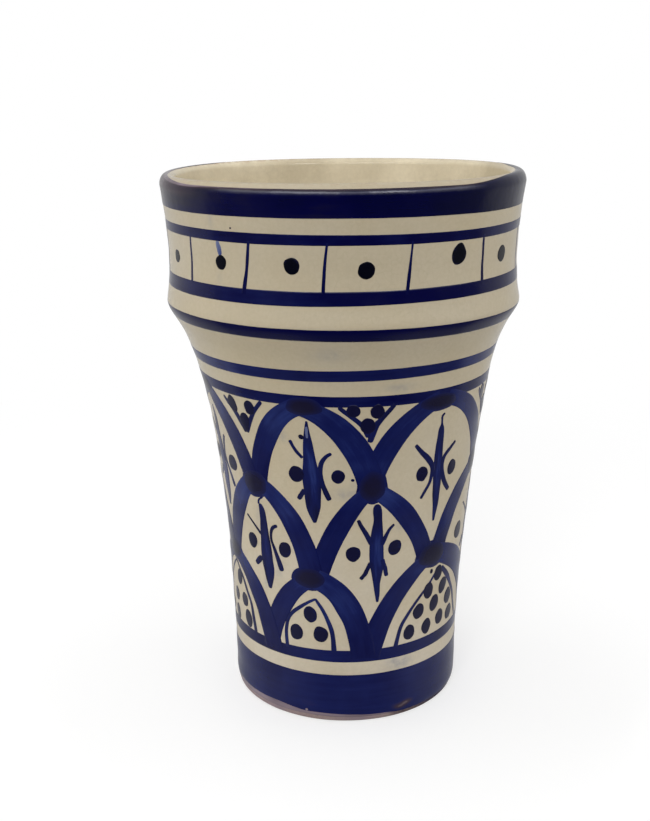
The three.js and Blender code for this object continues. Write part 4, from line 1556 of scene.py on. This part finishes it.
    def lamps(self, light):
        """Lamps overhead, a wide one in front, softer ones at both sides and two for the lip's gleam."""
        new_lamp("lamp_top_left", (-0.21, 0.05, 1.1), (-0.1, 0, 0.1), (0.36, 0.04), light.top * 0.75)
        new_lamp("lamp_top_right", (0.2, 0.05, 1.1), (0.1, 0, 0.1), (0.26, 0.03), light.top * 0.25)
        new_lamp("gleam_left", (-0.46, -1.02, 0.58), self.LIP, (0.85, 0.2), light.gleam * 0.4, True)
        new_lamp("gleam_right", (0.56, -1.01, 0.58), self.LIP, (0.5, 0.2), light.gleam * 0.3, True)
        new_lamp("lamp_front", (-0.3, -1.3, 0.75), self.BODY, (0.7, 0.5), light.front)
        low = new_lamp("lamp_low", (-0.1, -0.5, 0.02), (0, 0, 0.02), (0.4, 0.04), light.low)
        low.data.spread = math.radians(26)
        new_lamp("lamp_left", (-1.0, 0.1, 0.12), self.BODY, (0.5, 0.2), light.left)
        new_lamp("lamp_right", (1.0, 0.15, 0.12), self.BODY, (0.5, 0.2), light.right)


STEPS = (
    TUMBLER_OT_clay_body,
    TUMBLER_OT_glazes,
    TUMBLER_OT_rim_band,
    TUMBLER_OT_collar_ladder,
    TUMBLER_OT_collar_dots,
    TUMBLER_OT_plain_lines,
    TUMBLER_OT_scale_net,
    TUMBLER_OT_scale_knots,
    TUMBLER_OT_leaf_sprigs,
    TUMBLER_OT_sprig_dots,
    TUMBLER_OT_pendant_marks,
    TUMBLER_OT_dome_marks,
    TUMBLER_OT_foot_band,
    TUMBLER_OT_brush_slips,
    TUMBLER_OT_stage,
)


class TUMBLER_PT_panel(bpy.types.Panel):
    """Lists the steps that finish the tumbler"""

    bl_idname = "TUMBLER_PT_panel"
    bl_label = "Painted Tumbler"
    bl_space_type = "VIEW_3D"
    bl_region_type = "UI"
    bl_category = "Tumbler"

    def draw(self, context):
        for step in STEPS:
            self.layout.operator(step.bl_idname)
        tumbler = context.scene.tumbler
        for group in (tumbler.pot, tumbler.paint, tumbler.colours, tumbler.light):
            column = self.layout.column()
            for name in group.__annotations__:
                column.prop(group, name)


CLASSES = (PotSizes, PaintSizes, PotColours, StageLight, Tumbler, *STEPS, TUMBLER_PT_panel)


def register():
    """Adds the classes and the settings to Blender."""
    for cls in CLASSES:
        bpy.utils.register_class(cls)
    bpy.types.Scene.tumbler = bpy.props.PointerProperty(
        type=Tumbler, name="Tumbler", description="Sizes and colours of the tumbler"
    )


def unregister():
    """Takes the settings and the classes out again."""
    del bpy.types.Scene.tumbler
    for cls in reversed(CLASSES):
        bpy.utils.unregister_class(cls)


def main():
    """Makes every piece in order."""
    register()
    bpy.ops.tumbler.clay_body()
    bpy.ops.tumbler.glazes()
    bpy.ops.tumbler.rim_band()
    bpy.ops.tumbler.collar_ladder()
    bpy.ops.tumbler.collar_dots()
    bpy.ops.tumbler.plain_lines()
    bpy.ops.tumbler.scale_net()
    bpy.ops.tumbler.scale_knots()
    bpy.ops.tumbler.leaf_sprigs()
    bpy.ops.tumbler.sprig_dots()
    bpy.ops.tumbler.pendant_marks()
    bpy.ops.tumbler.dome_marks()
    bpy.ops.tumbler.foot_band()
    bpy.ops.tumbler.brush_slips()
    bpy.ops.tumbler.stage()


if __name__ == "__main__":
    main()
